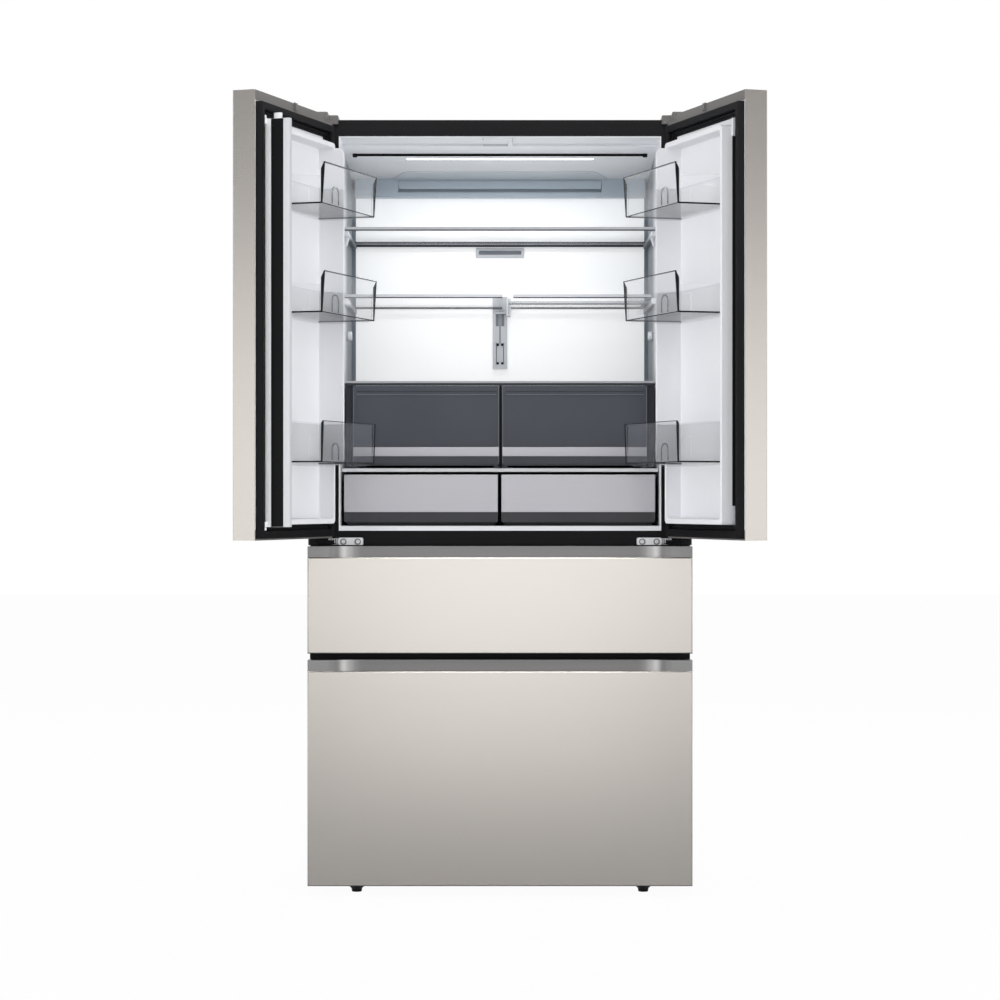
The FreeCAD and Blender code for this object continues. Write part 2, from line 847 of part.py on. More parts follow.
def rotor(name, plane, radius):
    """A hub with a bore and flat blades round it."""
    half = "blade_width/2"
    body, sketch = outline(f"{name}_body", plane,
                           [(f"-{half}", "0"), (half, "0"), (half, radius), (f"-{half}", radius)])
    blade = body.newObject("PartDesign::Pad", f"{name}_blade")
    blade.Profile = sketch
    bind(blade, "Length", "hub_depth/2")
    blade.Midplane = True
    ring = body.newObject("PartDesign::PolarPattern", f"{name}_blades")
    ring.Originals = [blade]
    ring.Axis = (sketch, ["N_Axis"])
    ring.Angle = 360
    bind(ring, "Occurrences", "fan_blades")
    body.Tip = ring
    return body


def fan(name, plane, along, centre, radius):
    """The rotor with its hub, bored for the motor shaft, its axis through the given centre."""
    blades = place(rotor(name, plane, radius), *centre)
    start = list(centre)
    axis = "xyz".index(along)
    start[axis] = f"{centre[axis]} - hub_depth/2"
    hub = rod(f"{name} hub", start, "hub_depth", "hub_radius", along)
    start[axis] = f"{centre[axis]} - hub_depth/2 - {OVER}"
    bore = rod(f"{name} bore", start, f"hub_depth + 2*{OVER}", "shaft_radius + pin_gap", along)
    node(name, cut(f"{name} bored", fuse(f"{name} solid", blades, hub), bore))


def build_machinery():
    section = [("0", "0"), ("compressor_foot", "0"), ("compressor_radius", "compressor_chamfer"),
               ("compressor_radius", "compressor_height - compressor_shoulder"),
               ("compressor_crown", "compressor_height - compressor_crown_drop"),
               ("0", "compressor_height")]
    pot = place(turned("pot", section), "compressor_across", back("compressor_back"),
                "base_top + compressor_plate")
    plate = box("compressor plate",
                ("compressor_across - compressor_radius", "compressor_across + compressor_radius"),
                (back("compressor_back - compressor_radius"), back("compressor_back + compressor_radius")),
                ("base_top", "base_top + compressor_plate"))
    node("compressor", fuse("compressor solid", pot, plate))

    coil = ribbed("coil", ("condenser_left", "condenser_left + condenser_width"),
                  (back("condenser_front"), back("condenser_front + condenser_depth")),
                  ("base_top", "base_top + condenser_height"))
    fan_y = back("condenser_front + condenser_depth/2")
    shaft_end = "condenser_fan_left + hub_depth/2"
    motor_start = "condenser_fan_left - hub_depth/2 - running_gap - motor_depth"
    motor = rod("condenser motor", (motor_start, fan_y, "condenser_fan_height"), "motor_depth",
                "motor_radius", "x")
    shaft = rod("condenser shaft", (motor_start, fan_y, "condenser_fan_height"),
                f"{shaft_end} - ({motor_start})",
                "shaft_radius", "x")
    post = box("condenser post", (motor_start, f"{motor_start} + motor_post"),
               (f"{fan_y} - motor_post/2", f"{fan_y} + motor_post/2"), ("base_top", "condenser_fan_height"))
    node("condenser", group("condenser set", coil, fuse("condenser mount", motor, shaft, post)))
    fan("condenser_fan", "YZ_Plane", "x", ("condenser_fan_left", fan_y, "condenser_fan_height"),
        "condenser_fan_radius")

    case = box("control case", ("control_left", "control_left + control_width"),
               (back("control_front"), back("control_front + control_depth")),
               ("base_top", "base_top + control_height"))
    hollow = box("control hollow", ("control_left + box_wall", "control_left + control_width - box_wall"),
                 (back("control_front + box_wall"), back("control_front + control_depth - box_wall")),
                 ("base_top + box_wall", f"base_top + control_height + {OVER}"))
    node("control_box", cut("control", case, hollow))


def build_evaporator():
    """The finned evaporator behind its cover at the back of the freezer, and its fan."""
    cover = box("evaporator cover", span("bay_half"),
                (back("cover_panel_back"), back("cover_panel_back + cover_panel")),
                ("hump_top", "freezer_ceiling"))
    hole = rod("fan hole", ("0", back(f"cover_panel_back - {OVER}"), "evaporator_fan_height"),
               f"cover_panel + 2*{OVER}", "evaporator_fan_radius + fan_tip_gap", "y")
    coil = ribbed("evaporator coil", span("evaporator_half"),
                  (back("evaporator_front"), back("evaporator_front + evaporator_depth")),
                  ("evaporator_low", "evaporator_high"))
    fan_mid = back("evaporator_fan_front + hub_depth/2")
    motor_y = back("evaporator_fan_front + hub_depth + running_gap")
    motor = rod("evaporator motor", ("0", motor_y, "evaporator_fan_height"), "motor_depth", "motor_radius",
                "y")
    shaft = rod("evaporator shaft", ("0", back("evaporator_fan_front"), "evaporator_fan_height"),
                "hub_depth + motor_depth",
                "shaft_radius", "y")
    reach = "evaporator_fan_radius + fan_tip_gap + motor_post"
    bar = box("motor bar", span(reach), (motor_y, f"{motor_y} + motor_post/2"),
              ("evaporator_fan_height - motor_post/2", "evaporator_fan_height + motor_post/2"))
    legs = []
    for side in (LEFT, RIGHT):
        x = mirrored(side, "evaporator_fan_radius + fan_tip_gap", reach)
        legs.append(box("motor leg", x, (back("cover_panel_back"), f"{motor_y} + motor_post/2"),
                        ("evaporator_fan_height - motor_post/2", "evaporator_fan_height + motor_post/2")))
    feet = [box("coil foot", mirrored(side, "evaporator_half - motor_post", "evaporator_half"),
                (back("evaporator_front"), back("evaporator_front + evaporator_depth")),
                ("hump_top", "evaporator_low"))
            for side in (LEFT, RIGHT)]
    node("evaporator", group("evaporator set", fuse("coil on feet", coil, *feet),
                             fuse("cover with motor", cut("cover", cover, hole), motor, shaft, bar, *legs)))
    fan("evaporator_fan", "XZ_Plane", "y", ("0", fan_mid, "evaporator_fan_height"), "evaporator_fan_radius")


def build_back_wall():
    wall = back("room_back")
    panel_front = f"{wall} - panel_depth"
    node("light_panel",
         box("panel plate", span("panel_half"), (panel_front, wall), ("panel_low", "panel_high")))
    duct_front = f"{wall} - duct_depth"
    duct = slope("duct block", span("panel_half"), (duct_front, wall),
                 ("panel_high", ceiling("(room_back - duct_depth)")),
                 ("panel_high", ceiling("room_back")))
    vent = box("vent", span("vent_half"), (f"{duct_front} - {OVER}", f"{duct_front} + vent_depth"),
               ("panel_high + vent_margin", "room_ceiling - duct_drop - vent_margin"))
    node("air_duct", cut("duct", duct, vent))
    plate = box("grille plate", span("grille_half"), (f"{panel_front} - grille_depth", panel_front),
                ("grille_low", "grille_low + grille_height"))
    mouth = box("grille mouth", span("grille_half - grille_rim"),
                (f"{panel_front} - grille_depth - {OVER}", f"{panel_front} - grille_depth/2"),
                ("grille_low + grille_rim", "grille_low + grille_height - grille_rim"))
    node("filter_grille", cut("grille", plate, mouth))
    column_front = f"{panel_front} - column_depth"
    column = box("column", span("column_half"), (column_front, panel_front), ("column_low", "column_high"))
    socket = box("socket", span("socket_half"),
                 (f"{column_front} - {OVER}", f"{column_front} + socket_depth"),
                 ("socket_low", "socket_low + socket_height"))
    node("shelf_column", cut("column with socket", column, socket))


def build_ceiling():
    """The lamp lens, the dark slot trim before it, and the block that turns the mullion flap."""
    strips = []
    for name, half, front, depth in (("lamp", "lamp_half", "lamp_front", "lamp_depth"),
                                     ("slot", "slot_half", "slot_front", "slot_depth")):
        high_front = ceiling(front)
        high_back = ceiling(f"({front} + {depth})")
        strips.append(slope(name, span(half), (back(front), back(f"{front} + {depth}")),
                            (f"{high_front} - lamp_drop", high_front),
                            (f"{high_back} - lamp_drop", high_back)))
    node("ceiling_lamp", group("lamp set", *strips))
    x = ("-guide_left", "guide_right")
    y = (back("guide_front"), back("guide_front + guide_depth"))
    block = box("guide block", x, y, ("room_ceiling - guide_height", "room_ceiling"))
    pocket = box("guide pocket", (f"-guide_left - {OVER}", "guide_right - guide_wall"),
                 (f"{y[0]} - {OVER}", f"{y[1]} - guide_wall"),
                 (f"room_ceiling - guide_height - {OVER}", "room_ceiling - guide_roof"))
    node("flap_guide", cut("guide", block, pocket))


def build_shelves():
    front = back("shelf_front")
    rear = back("shelf_back")
    glass_y = (f"{front} + trim_depth", f"{rear} - trim_depth")
    edges = ((front, glass_y[0]), (glass_y[1], rear))
    full = span("shelf_half")
    left = ("-shelf_half", "left_shelf_end")
    right = ("right_shelf_start", "shelf_half")
    split = back("pane_split")
    panes = [box("upper glass", full, glass_y, ("upper_shelf", "upper_shelf + glass")),
             box("left glass", left, glass_y, ("half_shelf", "half_shelf + glass")),
             box("right glass", right, (f"{split} + trim_depth", glass_y[1]),
                 ("half_shelf", "half_shelf + glass")),
             box("cover glass", full, (front, rear), ("cover_shelf", "cover_shelf + cover_glass"))]
    node("glass_shelves", group("panes", *panes))
    trims = [box("upper trim", full, y, ("upper_shelf", "upper_shelf + trim_height")) for y in edges]
    trims += [box("left trim", left, y, ("half_shelf", "half_shelf + trim_height")) for y in edges]
    trims.append(box("right trim", right, edges[1], ("half_shelf", "half_shelf + trim_height")))
    trims.append(box("split trim", right, (split, f"{split} + trim_depth"),
                     ("half_shelf", "half_shelf + trim_height")))
    trims.append(box("cover trim", full, (back("crisper_front"), front),
                     ("cover_shelf", "cover_shelf + cover_glass + sheet")))
    node("shelf_trims", group("trims", *trims))

    pane_low = "half_shelf - pane_drop"
    pane_x = ("right_shelf_start + ledge + running_gap", "shelf_half - ledge - running_gap")
    pane = box("sliding glass", pane_x, (glass_y[0], split), (pane_low, f"{pane_low} + glass"))
    nose = box("sliding nose", pane_x, edges[0], (pane_low, "half_shelf + trim_height"))
    node("slide_shelf", group("sliding pane", pane, nose))


def build_shelf_brackets():
    """White supports: wedges under the upper shelf, ledges for the half shelves, a centre bracket."""
    y = (back("bracket_front"), back("shelf_back"))
    pieces = []
    for side in (LEFT, RIGHT):
        x = mirrored(side, "room_half - bracket_wall", "room_half")
        pieces.append(slope("upper bracket", x, y, ("upper_shelf - bracket_nose", "upper_shelf"),
                            ("upper_shelf - bracket_heel", "upper_shelf")))
    pane_bed = "half_shelf - pane_drop - running_gap"
    flange_low = f"{pane_bed} - flange_sheet"
    wall_ledge = ("shelf_half - ledge", "room_half")
    pieces.append(box("left ledge", mirrored(LEFT, *wall_ledge), y, (flange_low, "half_shelf")))
    right = [box("right ledge", wall_ledge, y, (flange_low, "half_shelf")),
             box("right flange", ("shelf_half - ledge - rail_flange", "room_half"), y,
                 (flange_low, pane_bed))]
    pieces.append(fuse("right support", *right))
    centre = [box("centre web", ("left_shelf_end + running_gap", "right_shelf_start - running_gap"), y,
                  (flange_low, "half_shelf + trim_height")),
              box("centre left ledge", ("left_shelf_end - ledge", "left_shelf_end + running_gap"), y,
                  (flange_low, "half_shelf")),
              box("centre right ledge", ("right_shelf_start - running_gap", "right_shelf_start + ledge"), y,
                  (flange_low, "half_shelf")),
              box("centre flange", ("right_shelf_start", "right_shelf_start + ledge + rail_flange"), y,
                  (flange_low, pane_bed)),
              box("centre arm", span("socket_half"),
                  (f"{y[1]} - trim_depth", back("room_back - panel_depth - column_depth")),
                  (flange_low, pane_bed))]
    pieces.append(fuse("centre bracket", *centre))
    node("shelf_brackets", group("brackets", *pieces))


def build_storage_frame():
    """The plate over the pantry drawers, with the posts and runners of the crispers above it."""
    top = "frame_low + frame_plate"
    y = (back("post_front"), back("frame_back"))
    pieces = [box("frame plate", span("frame_half"), (back("frame_front"), y[1]), ("frame_low", top))]
    for side in (LEFT, RIGHT):
        pieces.append(box("post", mirrored(side, "post_inner", "post_out"), y, (top, "cover_shelf")))
        pieces.append(box("plate ear", mirrored(side, "post_inner", "room_half"), y, ("frame_low", top)))
    pieces.append(box("divider",
                      ("-crisper_left_inner + running_gap", "crisper_right_inner - running_gap"), y,
                      (top, "cover_shelf")))
    runner_z = (top, "crisper_low - running_gap")
    for low, high in (("-crisper_out", "-crisper_left_inner"), ("crisper_right_inner", "crisper_out")):
        pieces.append(box("runner", (low, f"{low} + runner_width"), y, runner_z))
        pieces.append(box("runner", (f"{high} - runner_width", high), y, runner_z))
    node("storage_frame", fuse("storage", *pieces))


def open_box(name, x, y, z, wall):
    """A box open at its top."""
    outside = box(f"{name} outside", x, y, z)
    inside = box(f"{name} inside", (f"{x[0]} + {wall}", f"{x[1]} - {wall}"),
                 (f"{y[0]} + {wall}", f"{y[1]} - {wall}"),
                 (f"{z[0]} + {wall}", f"{z[1]} + {OVER}"))
    return cut(name, outside, inside)


def build_crisper(name, x):
    front = back("crisper_front")
    box_front = f"{front} + crisper_front_depth"
    face = box("crisper face", x, (front, box_front), ("crisper_low", "crisper_high"))
    tub = open_box("crisper tub", (f"{x[0]} + crisper_inset", f"{x[1]} - crisper_inset"),
                   (box_front, back("crisper_back")),
                   ("crisper_low", "crisper_high - crisper_box_drop"), "box_wall")
    strip_z = ("crisper_low + strip_low", "crisper_low + strip_low + strip_height")
    strip = box("crisper strip", x, (f"{front} - strip_depth", front), strip_z)
    node(name, group(f"{name} set", fuse("crisper body", face, tub), strip))


def build_pantry(name, x):
    front = back("frame_front")
    box_front = f"{front} + pantry_front_depth"
    face = box("pantry face", x, (front, box_front), ("pantry_low", "pantry_high"))
    tub = open_box("pantry tub", (f"{x[0]} + pantry_inset", f"{x[1]} - pantry_inset"),
                   (box_front, back("pantry_back")),
                   ("room_floor + running_gap", "pantry_high - pantry_box_drop"), "box_wall")
    plate = box("pantry plate", x, (f"{front} - strip_depth", front), ("pantry_face_low", "pantry_high"))
    node(name, group(f"{name} set", fuse("pantry body", face, tub), plate))


def build_storage_drawers():
    build_crisper("left_crisper", ("-crisper_out", "-crisper_left_inner"))
    build_crisper("right_crisper", ("crisper_right_inner", "crisper_out"))
    build_pantry("left_pantry", ("-pantry_left_out", "-pantry_left_inner"))
    build_pantry("right_pantry", ("pantry_right_inner", "pantry_right_out"))


# The doors are made closed, about their hinge axes. Along a door, distances run from the axis to the
# free edge; across it, from the axis to the rear.


def along(side, low, high):
    return mirrored(-side, low, high)


def from_free(edge):
    return f"free_edge - ({edge})"


def on_door(name, side, item):
    """Hang a finished door piece on its hinge, turned to its open angle."""
    place(item, f"{side}*axis_side", "axis_depth", "0")
    bind(item, "Placement.Rotation.Angle", f"{side}*open_angle")
    return node(name, item)


def hinge_bore(low, high):
    return rod("hinge bore", ("0", "0", f"{low} - {OVER}"), f"{high} - ({low}) + 2*{OVER}",
               "pin_radius + pin_gap")


def build_door_skin(prefix, side):
    x = along(side, "-hinge_inset", "free_edge")
    y = ("-hinge_setback", "skin_back")
    z = ("door_bottom", "door_top")
    shell = rounded("skin block", box("skin outside", x, y, z), "skin_radius",
                    upright_front)
    hollow = box("skin inside", (f"{x[0]} + sheet", f"{x[1]} - sheet"),
                 (f"{y[0]} + sheet", f"{y[1]} + {OVER}"),
                 (f"{z[0]} - {OVER}", f"{z[1]} + {OVER}"))
    on_door(f"{prefix}_skin", side, cut("skin", shell, hollow, notch(side)))


def notch(side):
    """The hinge corner of the door's top, lowered to clear the hinge cover."""
    return box("notch", along(side, f"-hinge_inset - {OVER}", "notch_reach"),
               (f"-hinge_setback - {OVER}", f"skin_back + {OVER}"),
               ("door_top - notch_drop", f"door_top + {OVER}"))


def inside_skin():
    return ("-hinge_inset + sheet", "free_edge - sheet"), ("-hinge_setback + sheet", "skin_back")


def build_door_caps(prefix, side):
    reach, y = inside_skin()
    x = along(side, *reach)
    top_z = ("door_top - cap_height", "door_top")
    low_z = ("door_bottom", "door_bottom + cap_height")
    top = cut("top cap", box("top cap block", x, y, top_z), notch(side), hinge_bore(*top_z))
    bottom = cut("bottom cap", box("bottom cap block", x, y, low_z), hinge_bore(*low_z))
    on_door(f"{prefix}_caps", side, group("caps", top, bottom))


def ears(grow="0"):
    """The two bored ears that carry the mullion flap, above and below it."""
    x = (f"flap_u - ear_width/2 - {grow}", f"flap_u + ear_width/2 + {grow}")
    y = (f"skin_back - {grow}", f"skin_back + ear_depth + {grow}")
    low = (f"flap_low - running_gap - ear_height - {grow}", f"flap_low - running_gap + {grow}")
    high = (f"flap_high + running_gap - {grow}", f"flap_high + running_gap + ear_height + {grow}")
    return [box("flap ear", x, y, z) for z in (low, high)]


def build_door_liner(prefix, side, edge):
    """The foamed core with its moulded liner: a ring of dykes, tall on the hinge side, round the bins."""
    reach, y = inside_skin()
    core = box("core", along(side, *reach), y, ("door_bottom + cap_height", "door_top - cap_height"))
    far = "dyke_inside + dyke_span"
    rise = (f"skin_back - {OVER}", "skin_back + dyke_rise")
    tall = (rise[0], "skin_back + dyke_tall")
    free_x = along(side, from_free("dyke_inside"), from_free(edge))
    hinge_x = along(side, from_free(f"{far} + dyke_wall"), from_free(far))
    whole_x = along(side, from_free(f"{far} + dyke_wall"), from_free(edge))
    ends = (("dyke_low", "dyke_low + dyke_end"), ("dyke_high - dyke_end", "dyke_high"))
    pieces = [core, box("free dyke", free_x, rise, ("dyke_low", "dyke_high")),
              box("hinge dyke", hinge_x, rise, ("dyke_low", "dyke_high")),
              box("tall dyke", hinge_x, tall, ("dyke_step", "dyke_high - dyke_end"))]
    pieces += [box("end dyke", whole_x, rise, z) for z in ends]
    if side == RIGHT:
        return on_door(f"{prefix}_liner", side, fuse("liner", *pieces))
    bore = rod("ear bore", ("flap_u", "flap_v", "flap_low - ear_height - 2*running_gap"),
               "flap_high - flap_low + 2*ear_height + 4*running_gap", "flap_pin_radius + pin_gap")
    return on_door(f"{prefix}_liner", side,
                   fuse("liner", cut("bored ears", fuse("ears", *ears()), bore), *pieces))


def build_door_gasket(prefix, side):
    """A flat flange on the liner's rim with the magnetic bulb along its outer edge."""
    outer_x = ("gasket_hinge_gap", from_free("gasket_inset"))
    outer_z = ("door_bottom + gasket_inset", "door_top - gasket_top_inset")

    def ring(name, depth, side_width, end_width):
        y = ("skin_back", f"skin_back + {depth}")
        through = (f"{y[0]} - {OVER}", f"{y[1]} + {OVER}")
        inner_x = (f"{outer_x[0]} + {side_width}", f"{outer_x[1]} - {side_width}")
        inner_z = (f"{outer_z[0]} + {end_width}", f"{outer_z[1]} - {end_width}")
        return cut(name, box("ring outside", along(side, *outer_x), y, outer_z),
                   box("ring inside", along(side, *inner_x), through, inner_z))

    seal = fuse("seal", ring("flange", "flange_depth", "flange_side", "flange_end"),
                ring("bulb", "bulb_depth", "bulb_width", "bulb_width"))
    if side == LEFT:
        seal = cut("seal past ears", seal, *ears("running_gap"))
    on_door(f"{prefix}_gasket", side, seal)


def build_door_bins(prefix, side):
    x = along(side, from_free("dyke_inside + dyke_span - bin_play"), from_free("dyke_inside + bin_play"))
    y = ("skin_back + running_gap", "skin_back + bin_reach")
    bins = []
    for level in BIN_LEVELS:
        z = (level, f"{level} + bin_height")
        outside = rounded("bin block", box("bin outside", x, y, z), "bin_radius",
                          upright_rear)
        inside = box("bin inside", (f"{x[0]} + bin_wall", f"{x[1]} - bin_wall"),
                     (f"{y[0]} + bin_wall", f"{y[1]} - bin_wall"),
                     (f"{z[0]} + bin_wall", f"{z[1]} + {OVER}"))
        bins.append(cut("bin", outside, inside))
    on_door(f"{prefix}_bins", side, group("bins", *bins))


def build_flap():
    """The mullion flap, folded against the edge of the open left door."""
    face_u = "flap_u - flap_standoff"
    x = (f"{face_u} - flap_depth", face_u)
    y = ("flap_v - flap_tail", "flap_v - flap_tail + flap_width")
    z = ("flap_low", "flap_high")
    plate_x = (f"{face_u} - sheet", face_u)
    plate_y = (f"{y[0]} + flap_margin", f"{y[1]} - flap_margin")
    recess = box("face recess", (plate_x[0], f"{face_u} + {OVER}"), plate_y,
                 (f"{z[0]} - {OVER}", f"{z[1]} + {OVER}"))
    body = cut("flap block", box("flap bar", x, y, z), recess)
    lugs = []
    for low in ("flap_low", "flap_high - flap_lug_height"):
        high = f"{low} + flap_lug_height"
        lugs.append(rod("flap lug", ("flap_u", "flap_v", low), "flap_lug_height", "flap_lug_radius"))
        lugs.append(box("lug web", (f"{face_u} - sheet", "flap_u"), (y[0], "flap_v + flap_lug_radius"),
                        (low, high)))
    pins = [rod("flap pin", ("flap_u", "flap_v", low), "flap_pin_length + flap_lug_height",
                "flap_pin_radius")
            for low in ("flap_low - flap_pin_length", "flap_high - flap_lug_height")]
    cam_x = (f"{face_u} - flap_depth/2 - cam_depth/2", f"{face_u} - flap_depth/2 + cam_depth/2")
    cam = box("flap cam", cam_x, ("flap_v + cam_from", "flap_v + cam_from + cam_width"),
              ("flap_high", "flap_high + cam_height"))
    on_door("flap_housing", LEFT, fuse("flap", body, *lugs, *pins, cam))
    on_door("flap_face", LEFT, group("flap plate set", box("flap plate", plate_x, plate_y, z)))


def build_doors():
    for prefix, side, edge in (("left_door", LEFT, "left_dyke_edge"),
                               ("right_door", RIGHT, "right_dyke_edge")):
        build_door_skin(prefix, side)
        build_door_caps(prefix, side)
        build_door_liner(prefix, side, edge)
        build_door_gasket(prefix, side)
        build_door_bins(prefix, side)
    build_flap()


def lower_screw_places():
    return ("hinge_plate_out - screw_inset", "hinge_plate_inner + screw_inset")


def screw_hole(side, x):
    """A clearance hole for a lower hinge screw, through its plate and the frame."""
    return rod("screw hole", (f"{side}*({x})", f"face - hinge_plate_sheet - {OVER}", "hinge_mid"),
               f"hinge_plate_sheet + frame_depth + 2*{OVER}", "screw_shank + pin_gap", "y")


def screw(side, x):
    """A cross-head screw: shank through the hinge plate and the frame, head on the plate."""
    head_y = "face - hinge_plate_sheet - screw_head_depth"
    mid = f"{side}*({x})"
    head = rod("screw head", (mid, head_y, "hinge_mid"), "screw_head_depth", "screw_head", "y")
    shank = rod("screw shank", (mid, head_y, "hinge_mid"),
                "screw_head_depth + hinge_plate_sheet + frame_depth",
                "screw_shank", "y")
    slot_y = (f"{head_y} - {OVER}", f"{head_y} + screw_head_depth/2")
    long, short = "screw_slot_length/2", "screw_slot/2"
    cross = [box("cross slot", (f"{mid} - {a}", f"{mid} + {a}"), slot_y,
                 (f"hinge_mid - {b}", f"hinge_mid + {b}"))
             for a, b in ((long, short), (short, long))]
    return cut("screw", fuse("screw blank", head, shank), *cross)


def lower_hinge(side):
    """A plate on the cabinet face, and an arm out to the knuckle and pin under the door."""
    half = "hinge_arm_half"
    plate_y = "face - hinge_plate_sheet"
    root = "hinge_plate_out + hinge_arm_root"
    shape = [("hinge_plate_out", "face"), (root, "face"), (f"axis_side + {half}", "axis_depth"),
             ("axis_side", f"axis_depth - {half}")]
    arm = padded("hinge_arm", "XY_Plane", [(f"{side}*({x})", y) for x, y in shape], "hinge_arm_depth")
    place(arm, "0", "0", "hinge_arm_low")
    plate = box("lower plate", mirrored(side, "hinge_plate_inner", root), (plate_y, "face"),
                ("knuckle_top - knuckle_drop", "knuckle_top"))
    knuckle = rod("knuckle", (f"{side}*axis_side", "axis_depth", "knuckle_top - knuckle_drop"),
                  "knuckle_drop", "knuckle_radius")
    pin = rod("lower pin", (f"{side}*axis_side", "axis_depth", "knuckle_top"), "pin_reach + knuckle_gap",
              "pin_radius")
    holes = [screw_hole(side, x) for x in lower_screw_places()]
    return cut("lower hinge", fuse("lower hinge solid", arm, plate, knuckle, pin), *holes)


def top_bracket(side):
    """A plate on the cabinet top that reaches over the door, with the pin down into the door's top cap."""
    z = ("cabinet_top", "cabinet_top + hinge_plate")
    reach = box("bracket reach", mirrored(side, "axis_side - bracket_reach", "axis_side + bracket_side"),
                ("axis_depth - bracket_side/2", "face + bracket_side"), z)
    foot = box("bracket foot",
               mirrored(side, "axis_side - bracket_reach - bracket_side", "axis_side + bracket_side"),
               ("face", "face + bracket_length"), z)
    low = "door_top - cap_height + pin_end_gap"
    pin = rod("top pin", (f"{side}*axis_side", "axis_depth", low), f"cabinet_top + hinge_plate - ({low})",
              "pin_radius")
    return fuse("top hinge", reach, foot, pin)


def build_hinges():
    brackets = [top_bracket(side) for side in (LEFT, RIGHT)]
    node("door_hinges", group("hinges", *brackets, *[lower_hinge(side) for side in (LEFT, RIGHT)]))
    covers = []
    for side, bracket in zip((LEFT, RIGHT), brackets):
        nose = box("cover nose", mirrored(side, "cover_nose", "cabinet_half"),
                   ("axis_depth - hinge_setback", "face + bracket_side"),
                   ("cover_low", "cover_high"))
        body = box("cover body", mirrored(side, "cover_inner", "cabinet_half"),
                   (back("cover_nose_back"), back("cover_back")),
                   ("cover_low", "cover_high"))
        cabinet = box("cover seat", span("cabinet_half"), ("face", "rear"), ("case_bottom", "cabinet_top"))
        whole = fuse("cover solid", nose, body)
        edges = rounded("cover rounded", whole, "cover_radius", upright)
        covers.append(cut("hinge cover", edges, cabinet, bracket))
    node("top_hinge_covers", group("covers", *covers))
    node("hinge_screws",
         group("screws", *[screw(side, x) for side in (LEFT, RIGHT) for x in lower_screw_places()]))


PANELS = {"middle": ("middle_panel_low", "middle_panel_high"),
          "freezer": ("freezer_panel_low", "freezer_panel_high")}


def build_drawer_front(bay):
    low, high = PANELS[bay]
    side = "drawer_half"
    shell = box("front outside", span(side), ("front_plane", "front_back"), (low, high))
    shell = rounded("front block", shell, "skin_radius", upright_front)
    hollow = box("front inside", span(f"{side} - sheet"), ("front_plane + sheet", f"front_back + {OVER}"),
                 (f"{low} + sheet", f"{high} - sheet"))
    node(f"{bay}_drawer_front", cut("front", shell, hollow))
    core = box("inner panel", span(f"{side} - sheet"), ("front_plane + sheet", "front_back"),
               (f"{low} + sheet", f"{high} - sheet"))
    node(f"{bay}_drawer_inner", core)
    foot = back("grip_foot")
    points = [(foot, "0"), ("front_back", "0"), ("front_back", "grip_height"),
              (f"{foot} + grip_lean", "grip_height"),
              (f"{foot} + grip_lean/4", "grip_height/2")]
    grip = padded(f"{bay}_grip", "YZ_Plane", points, "2*drawer_half", centred=True)
    node(f"{bay}_drawer_grip", place(grip, "0", "0", high))
    bay_low, bay_high = BAYS[bay]
    edge = "liner_wall + drawer_gasket_margin"
    wide = f"{edge} + drawer_gasket_width"
    y = ("front_back", "front_back + bulb_depth")
    seal = cut("drawer seal",
               box("seal outside", span(f"bay_half + {wide}"), y,
                   (f"{bay_low} - ({wide})", f"{bay_high} + {wide}")),
               box("seal inside", span(f"bay_half + {edge}"), (f"{y[0]} - {OVER}", f"{y[1]} + {OVER}"),
                   (f"{bay_low} - ({edge})", f"{bay_high} + {edge}")))
    node(f"{bay}_drawer_gasket", seal)


def rail_bars(name, bay, inner, taper, front):
    """One telescopic rail member on each side; each member fits inside the one before it."""
    low = f"{bay}_rail_low + {taper}*rail_taper"
    high = f"{bay}_rail_low + rail_height - {taper}*rail_taper"
    y = (front, back(f"{bay}_box_back"))
    outer = f"{inner} + rail_width"
    return [box(name, mirrored(side, inner, outer), y, (low, high)) for side in (LEFT, RIGHT)]


def build_drawer_box(bay):
    z = (f"{bay}_box_low", f"{bay}_box_high")
    tub = open_box(f"{bay} tub", span("drawer_box_half"), ("front_back", back(f"{bay}_box_back")), z,
                   "drawer_box_wall")
    inner = rail_bars("inner rail", bay, "drawer_box_half", 2, "front_back")
    node(f"{bay}_drawer_box", fuse(f"{bay} box", tub, *inner))
    middle = rail_bars("middle rail", bay, "drawer_box_half + rail_width + running_gap", 1,
                       back("rail_front"))
    node(f"{bay}_slides", group(f"{bay} slide pair", *middle))


def build_cabinet_rails():
    bars = []
    for bay in BAYS:
        start = "drawer_box_half + 2*rail_width + 2*running_gap"
        low, high = f"{bay}_rail_low", f"{bay}_rail_low + rail_height"
        y = (back("rail_front"), back(f"{bay}_box_back"))
        bars += [box("cabinet rail", mirrored(side, start, "bay_half"), y, (low, high)) for side in (LEFT,
                                                                                                     RIGHT)]
    node("cabinet_rails", group("rails", *bars))


def build_tray():
    x = span("tray_half")
    y = (back("tray_front"), back("tray_front + tray_length"))
    seat = "freezer_box_high + running_gap"
    tub = open_box("tray tub", x, y, ("tray_low", f"{seat} + tray_rim"), "box_wall")
    rims = [box("tray rim", mirrored(side, "tray_half - box_wall", "drawer_box_half"), y,
                (seat, f"{seat} + tray_rim"))
            for side in (LEFT, RIGHT)]
    node("freezer_tray", fuse("tray", tub, *rims))


def build_drawers():
    for bay in BAYS:
        build_drawer_front(bay)
        build_drawer_box(bay)
    build_cabinet_rails()
    build_tray()


def check_document():
    """Stop if any object failed or any sub-part is not a valid solid."""
    for item in document.Objects:
        if {"Invalid", "Error"} & set(item.State):
            raise RuntimeError(f"{item.Name} ({item.Label}) failed")
    for item in nodes:
        shape = item.Shape
        if shape.isNull() or not shape.isValid() or not shape.Solids:
            raise RuntimeError(f"{item.Label} has no valid solid")


